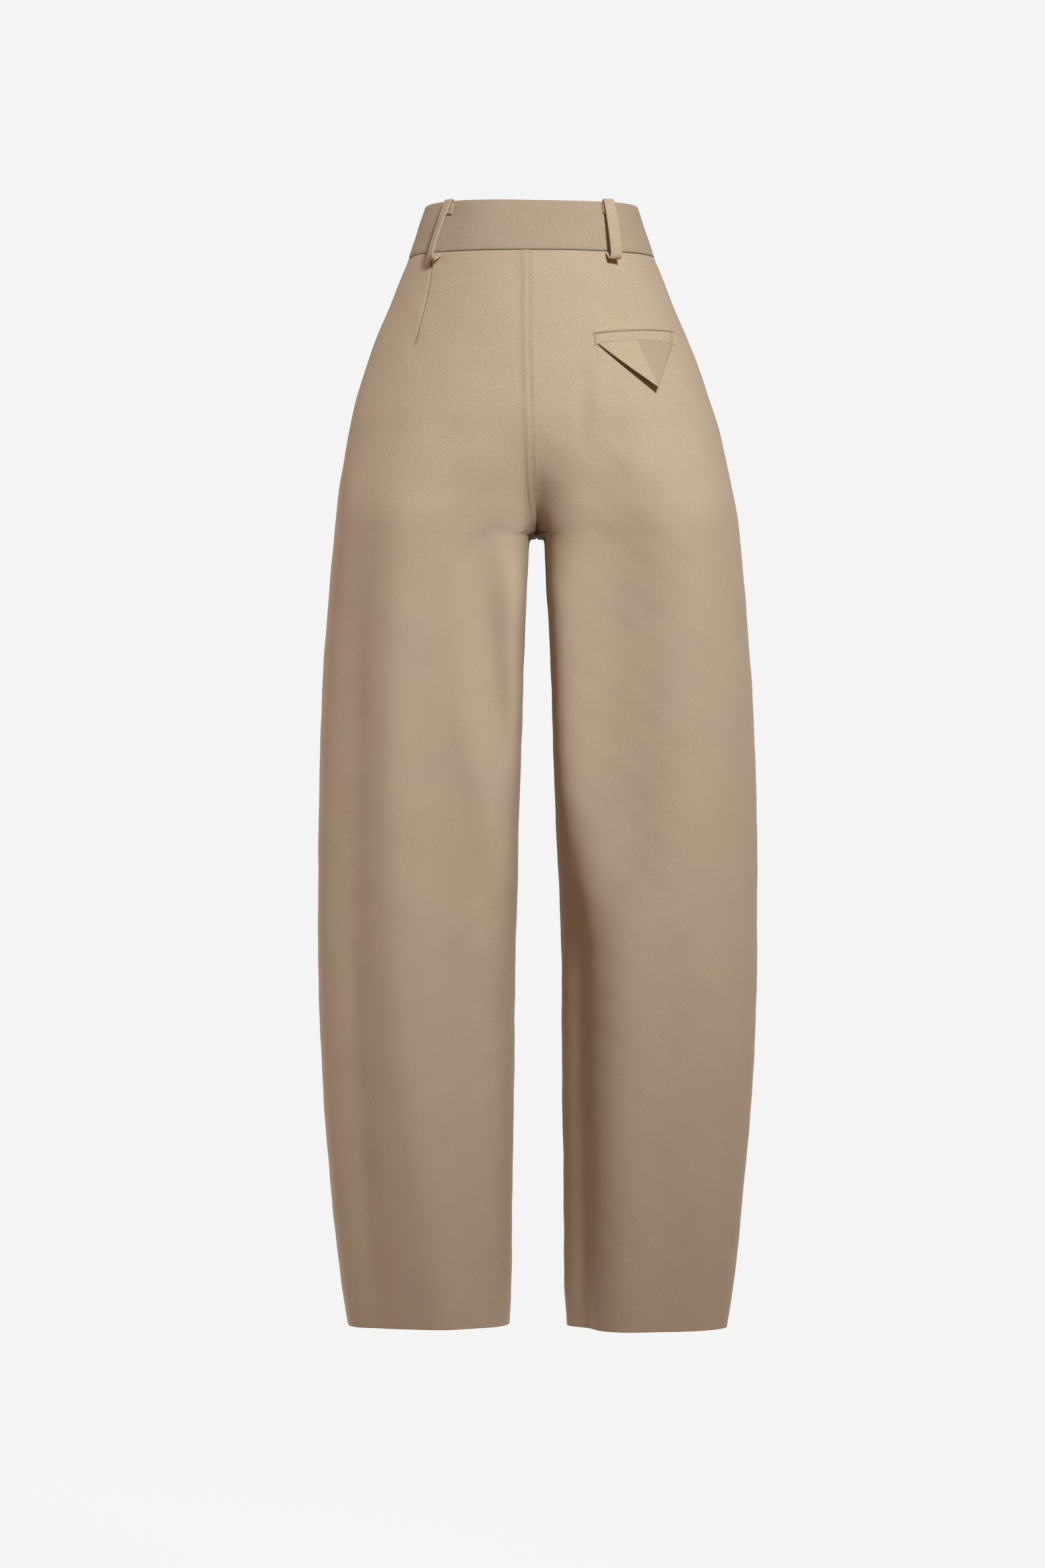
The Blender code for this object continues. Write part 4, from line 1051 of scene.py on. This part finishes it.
def stitchRows(name, lines, material, pitch=0.0030, length=0.0024, thread=0.00050, seed=3):
    curve = bpy.data.curves.new(name, "CURVE")
    curve.dimensions = "3D"
    for line in lines:
        spline = curve.splines.new("POLY")
        spline.points.add(len(line) - 1)
        for point, place3d in zip(spline.points, line):
            point.co = (*place3d, 1)
    source = bpy.data.objects.new(name + "_path", curve)
    scene.collection.objects.link(source)
    sewing = source.modifiers.new("Stitches", "NODES")
    sewing.node_group = stitchNodes
    wanted = {"Pitch": pitch, "Stitch Length": length, "Thread": thread, "Seed": seed, "Finish": material}
    for item in stitchNodes.interface.items_tree:
        if item.in_out == "INPUT" and item.name in wanted:
            sewing[item.identifier] = wanted[item.name]
    evaluated = source.evaluated_get(bpy.context.evaluated_depsgraph_get())
    mesh = bpy.data.meshes.new_from_object(evaluated)
    mesh.name = name
    sewn = bpy.data.objects.new(name, mesh)
    scene.collection.objects.link(sewn)
    bpy.data.objects.remove(source)
    return sewn


def surfaceLine(side, face, samples, offset):
    # a line on a panel through (drop, distance) pairs, just over its raised forms
    line = []
    for drop, distance in samples:
        point, normal = onCloth(side, face, drop, distance)
        x = side * (point.x - sectionAt["sway"](drop))
        line.append(point + normal * (reliefAt(side, face, drop, distance, x) + offset))
    return line


sewing = {"seatPitch": 0.0029, "seatLength": 0.0021, "bandPitch": 0.0019, "thread": 0.00066}


def seatStitches():
    drops = np.linspace(bandHalf + 0.003, crotch - 0.012, 120)
    lines = [surfaceLine(left, back, [(d, row) for d in drops], 0.00004) for row in seatSeam["rows"]]
    sizes = (sewing["seatPitch"], sewing["seatLength"], sewing["thread"])
    return stitchRows("seat_seam_stitches", lines, seamThread, *sizes)


def bandSeamStitches():
    # short slanted dashes just under the waistband
    drop = bandHalf + 0.0016
    lines = []
    for side in (left, right):
        for face in (back, front):
            total = halfSection(side, face, drop)[1][-1]
            first = 0.006 if face == back else 0.042
            for distance in np.arange(first, total - 0.004, sewing["bandPitch"]):
                slant = 0.0005 * side * face
                pair = ((drop - 0.0006, distance - slant), (drop + 0.0006, distance + slant))
                lines.append(surfaceLine(side, face, pair, 0.00005))
    return stitchRows("waist_seam_stitches", lines, seamThread, 0.01, 0.0014, 0.00040, 5)


def flyStitches():
    bend, width = fly["bottom"] - fly["turn"], fly["sewnAt"] - fly["sewnEnd"]
    line = [(drop, fly["sewnAt"]) for drop in np.linspace(bandHalf + 0.003, bend, 60)]
    for turn in np.linspace(0, math.pi / 2, 24)[1:]:
        line.append((bend + fly["turn"] * math.sin(turn), fly["sewnEnd"] + width * math.cos(turn)))
    made = []
    for drop, distance in line:
        row, lift = lappedRow(drop, np.array([distance]))
        normal = onCloth(right, front, drop, distance)[1]
        x = -(row[0][0] - sectionAt["sway"](drop))
        small = reliefAt(right, front, drop, distance, x)
        made.append(Vector(row[0]) + normal * (float(lift[0]) + small + 0.00006))
    return stitchRows("fly_stitches", [made], seamThread, 0.0030, 0.0024, sewing["thread"])


def tackStitches():
    # dense bars that hold the loops' ends and the pocket's ends
    lines = []
    for row in loops:
        centres, acrosses = loopLine(row)
        for spot, across in list(zip(centres, acrosses))[-3:-6:-1]:
            away = (spot - Vector((0, 0, spot.z))).normalized() * (loopCut["cloth"] / 2 + 0.0001)
            lines.append([spot + away + across * end * loopCut["tackHalf"] for end in (-1, 1)])
    for x in (pocket["innerX"] + 0.0006, pocket["outerX"] - 0.0006):
        drops = np.linspace(weltEdge(x, False) - 0.0004, weltEdge(x, True) + 0.0004, 10)
        lines.append([onRightBack(x, d, 0.0006) for d in drops])
    return stitchRows("bar_tacks", lines, seamThread, 0.0008, 0.0011, 0.00042, 7)


def looseThreads():
    # little pale ends of tacking thread at the back loops
    lines = []
    for side, x in ((left, 0.0885), (right, 0.0805)):
        distance = distanceAtX(side, back, 0.0252, x - 0.003)
        ends = ((0.0245, distance - 0.0011), (0.0252, distance + 0.0011))
        lines.append([onCloth(side, back, drop, along, 0.0012)[0] for drop, along in ends])
    return stitchRows("tacking_ends", lines, paleThread, 0.01, 0.0024, 0.00055, 9)


def loopEdgeStitches():
    lines = []
    for row in loops:
        centres, acrosses = loopLine(row)
        for sideways in (-1, 1):
            line = []
            for i in range(8, len(centres) - 16):
                ahead = (centres[i + 1] - centres[i - 1]).normalized()
                across = (acrosses[i] - ahead * acrosses[i].dot(ahead)).normalized()
                outside = across.cross(ahead)
                if outside.dot(Vector((centres[i].x, centres[i].y, 0))) < 0:
                    outside = -outside
                proud = outside * (loopCut["cloth"] / 2 + 0.00002)
                line.append(centres[i] + across * sideways * loopCut["sewnAt"] + proud)
            lines.append(line)
    return stitchRows("loop_stitches", lines, seamThread, 0.0026, 0.0019, 0.00034, 11)


sewers = (seatStitches, bandSeamStitches, flyStitches, tackStitches, looseThreads, loopEdgeStitches)
stitchPieces = [sew() for sew in sewers]
print("Stitches sewn")

# Waist button, turned from a profile, with its cross of thread
button = {"x": 0.0105, "radius": 0.0085, "height": 0.0032, "dish": 0.0008, "hole": 0.0009, "ring": 0.0021}
button.update({"slotHalf": 0.0122, "slotSide": 0.0017})


def buildButton():
    r, h, dish = button["radius"], button["height"], button["dish"]
    profile = [(0, h - dish), (r * 0.56, h - dish), (r * 0.66, h - dish * 0.7), (r * 0.74, h - 0.0001)]
    profile += [(r * 0.80, h), (r * 0.90, h * 0.97), (r * 0.97, h * 0.84), (r, h * 0.62)]
    profile += [(r * 0.98, h * 0.34), (r * 0.88, 0.0), (0, 0)]
    work = bmesh.new()
    ring = [work.verts.new((x, 0, z)) for x, z in profile]
    lines = [work.edges.new(pair) for pair in zip(ring, ring[1:])]
    turned = {"cent": (0, 0, 0), "axis": (0, 0, 1), "angle": 2 * math.pi, "steps": 72, "use_merge": True}
    bmesh.ops.spin(work, geom=ring + lines, **turned)
    bmesh.ops.remove_doubles(work, verts=work.verts, dist=0.00001)
    bmesh.ops.recalc_face_normals(work, faces=work.faces)
    mesh = bpy.data.meshes.new("button_disc")
    work.to_mesh(mesh)
    work.free()
    disc = place("waist_button_disc", mesh, horn)
    drills = []
    angles = [math.pi / 4 + i * math.pi / 2 for i in range(4)]
    holes = [(button["ring"] * math.cos(a), button["ring"] * math.sin(a)) for a in angles]
    sizes = {"segments": 20, "radius1": button["hole"], "radius2": button["hole"], "depth": h * 3}
    for i, (x, y) in enumerate(holes):
        drill = bmesh.new()
        bmesh.ops.create_cone(drill, cap_ends=True, matrix=Matrix.Translation((x, y, h / 2)), **sizes)
        drillMesh = bpy.data.meshes.new("drill")
        drill.to_mesh(drillMesh)
        drill.free()
        drillObject = place(f"drill_{i}", drillMesh, horn)
        drills.append(drillObject)
        cut = disc.modifiers.new(f"Hole {i}", "BOOLEAN")
        cut.operation, cut.object = "DIFFERENCE", drillObject
    applyModifiers(disc)
    for drillObject in drills:
        bpy.data.objects.remove(drillObject)
    disc.data.shade_smooth()
    disc.data.set_sharp_from_angle(angle=math.radians(50))
    onBand = band["proud"] + fly["rise"] + band["crown"]
    seat, facing = onCloth(right, front, 0.0, button["x"], onBand + 0.0005)
    toPlace = Matrix.Translation(seat) @ facing.to_track_quat("Z", "Y").to_matrix().to_4x4()
    disc.data.transform(toPlace)
    spots = [Vector((x, y, h - dish + 0.0003)) for x, y in holes]
    crossings = ((0, 2, Vector((0, 0, 0))), (1, 3, Vector((0, 0, 0.0003))))
    lines = [[toPlace @ (spots[i] + lift) for i in (a, b)] for a, b, lift in crossings]
    cross = stitchRows("button_thread", lines, seamThread, 0.01, 0.0046, 0.0009, 2)
    hole = []
    for share in np.linspace(0, 1, 40):  # the buttonhole's stitched rim, seen past the button's edge
        around = 2 * math.pi * share
        distance = max(button["x"] + button["slotHalf"] * math.cos(around), 0.0005)
        drop = -button["slotSide"] * math.sin(around)
        hole.append(onCloth(right, front, drop, distance, onBand + 0.0001)[0])
    rim = stitchRows("buttonhole_stitches", [hole], seamThread, 0.0007, 0.0009, 0.0007, 4)
    return disc, cross, rim


buttonDisc, buttonThread, buttonholeRim = buildButton()
print("Button made")

# Zip teeth behind the fly, on the chain of the closed zip
zipCut = {"x": -0.0048, "top": 0.0275, "bottom": 0.200, "clearance": 0.0007, "rise": 0.0005, "tape": 0.0008}
zipCut["halfChain"] = 0.0008


def zipTeeth():
    lines = []
    for sideways in (-zipCut["halfChain"], zipCut["halfChain"]):
        for deep in (zipCut["rise"] + 0.0001, -zipCut["tape"] - zipCut["rise"] - 0.0001):
            line = []
            for drop in np.linspace(zipCut["top"] + 0.001, zipCut["bottom"] - 0.002, 50):
                x = zipCut["x"] + sideways
                side = left if x > 0 else right
                offset = deep - trousers["cloth"] - zipCut["clearance"]
                line.append(onCloth(side, front, drop, abs(x), offset)[0])
            lines.append(line)
    return stitchRows("zip_teeth", lines, zipMetal, 0.0015, 0.0011, 0.0019, 6)


teeth = zipTeeth()
for nodeName, finish in (("fly_zip", zipTape), ("zip_slider", zipMetal)):
    node = bpy.data.objects[nodeName]
    node.data.materials.clear()
    node.data.materials.append(finish)
print("Zip dressed")

# What each piece rides on, and the part it replaces
for nodeName, (panel, area) in panels.items():
    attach(panel, "root")
    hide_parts(nodeName)
standIns = [(bandCloth, "waistband")] + [(tape, nodeName) for nodeName, (tape, length) in loopTapes.items()]
standIns += [(weltCloth, "pocket_welt"), (flapLeft, "pocket_flap"), (flapRight, "pocket_flap")]
for piece, nodeName in standIns:
    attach(piece, "root")
    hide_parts(nodeName)
for piece in stitchPieces + [buttonThread, buttonholeRim]:
    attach(piece, "root")
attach(buttonDisc, "root")
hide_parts("waist_button")
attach(teeth, "root")

# Studio: a pale sweep, a soft key from the camera's right, a rim light and a dim warm room
photo = {"height": 2352, "metresPerPixel": 0.00066}
studio = {
    "cameraAway": 5.6,
    "cameraX": 0.0089,
    "cameraZ": -0.545,
    "floorZ": -1.62,
    "sweep": 2.0,
    "wall": 7.0,
    "bend": 1.5,
    "wallLevel": 0.885,
    "floorLevel": 0.04,
    "keyPower": 1300,
    "keyCone": 22.4,
    "keyPlace": (-1.6, 4.2, 2.6),
    "keyAim": (-0.02, 0.0, -0.24),
    "keySize": 0.50,
    "keyColor": (0.865, 0.975, 1.0),
    "sidePlace": (2.5, -0.9, 0.3),
    "sideAim": (0, 0, -0.35),
    "sideColor": (1.0, 0.93, 0.86),
    "sidePower": 22,
    "roomColor": (1.0, 0.58, 0.40, 1),
    "roomLevel": 0.19,
}


def buildSweep():
    wall, bend, floorZ = studio["wall"], studio["bend"], studio["floorZ"]
    profile = [(y, floorZ) for y in np.linspace(studio["sweep"], bend - wall, 30)]
    for turn in np.linspace(0, math.pi / 2, 20)[1:]:
        profile.append((bend - wall - bend * math.sin(turn), floorZ + bend - bend * math.cos(turn)))
    profile += [(-wall, z) for z in np.linspace(floorZ + bend, 5.5, 9)[1:]]
    xs = np.linspace(-8, 8, 9)
    grid = np.array([[(x, y, z) for x in xs] for y, z in profile])
    mesh = gridMesh("studio_sweep", grid, np.zeros(grid.shape[:2] + (2,)), (0, 1, 0.2))
    paint = Paint("paleSweep")
    spot = paint.here()
    depth = paint.add("ShaderNodeSeparateXYZ", {}, {0: spot}, 1)

    def fromWallToFloor(wallTone, floorTone):
        tone = paint.fade(depth, -0.5, 0.6, wallTone, floorTone)
        return paint.add("ShaderNodeCombineXYZ", {}, {0: tone, 1: tone, 2: tone})

    glow, pale = fromWallToFloor(studio["wallLevel"], studio["floorLevel"]), fromWallToFloor(0.06, 0.70)
    matt = {"Roughness": 0.95, "Specular_IOR_Level": 0.0, "Emission_Strength": 1.0}
    paint.finish(Base_Color=pale, Emission_Color=glow, **matt)
    return place("studio_sweep", mesh, paint.material)


def addLamp(name, kind, place3d, target, **values):
    data = bpy.data.lights.new(name, kind)
    for key, value in values.items():
        setattr(data, key, value)
    lamp = bpy.data.objects.new(name, data)
    scene.collection.objects.link(lamp)
    lamp.location = place3d
    lamp.rotation_euler = (Vector(target) - Vector(place3d)).to_track_quat("-Z", "Y").to_euler()


buildSweep()
key = {"energy": studio["keyPower"], "color": studio["keyColor"], "shadow_soft_size": studio["keySize"]}
key.update({"spot_size": math.radians(studio["keyCone"]), "spot_blend": 1.0})
addLamp("key", "SPOT", studio["keyPlace"], studio["keyAim"], **key)
side = {"shape": "DISK", "size": 1.4, "energy": studio["sidePower"], "color": studio["sideColor"]}
addLamp("side", "AREA", studio["sidePlace"], studio["sideAim"], **side)
world = bpy.data.worlds.new("studio")
world.use_nodes = True
worldNodes, join = world.node_tree.nodes, world.node_tree.links.new
room, backdrop = worldNodes["Background"], worldNodes.new("ShaderNodeBackground")
room.inputs[0].default_value, room.inputs[1].default_value = studio["roomColor"], studio["roomLevel"]
backdrop.inputs[0].default_value, backdrop.inputs[1].default_value = (1, 1, 1, 1), studio["wallLevel"]
pick = worldNodes.new("ShaderNodeMixShader")  # a pale backdrop past the sweep, seen but giving no light
join(worldNodes.new("ShaderNodeLightPath").outputs["Is Camera Ray"], pick.inputs[0])
join(room.outputs[0], pick.inputs[1])
join(backdrop.outputs[0], pick.inputs[2])
join(pick.outputs[0], worldNodes["World Output"].inputs["Surface"])
scene.world = world
scene.view_settings.view_transform = "Standard"

cameraData = bpy.data.cameras.new("camera")
cameraData.sensor_fit = "VERTICAL"
cameraData.sensor_height = 24.0
cameraData.lens = 24.0 * studio["cameraAway"] / (photo["height"] * photo["metresPerPixel"])
camera = bpy.data.objects.new("camera", cameraData)
scene.collection.objects.link(camera)
camera.location = (studio["cameraX"], studio["cameraAway"], studio["cameraZ"])
camera.rotation_euler = (math.pi / 2, 0, math.pi)
scene.camera = camera

print("Scene ready")
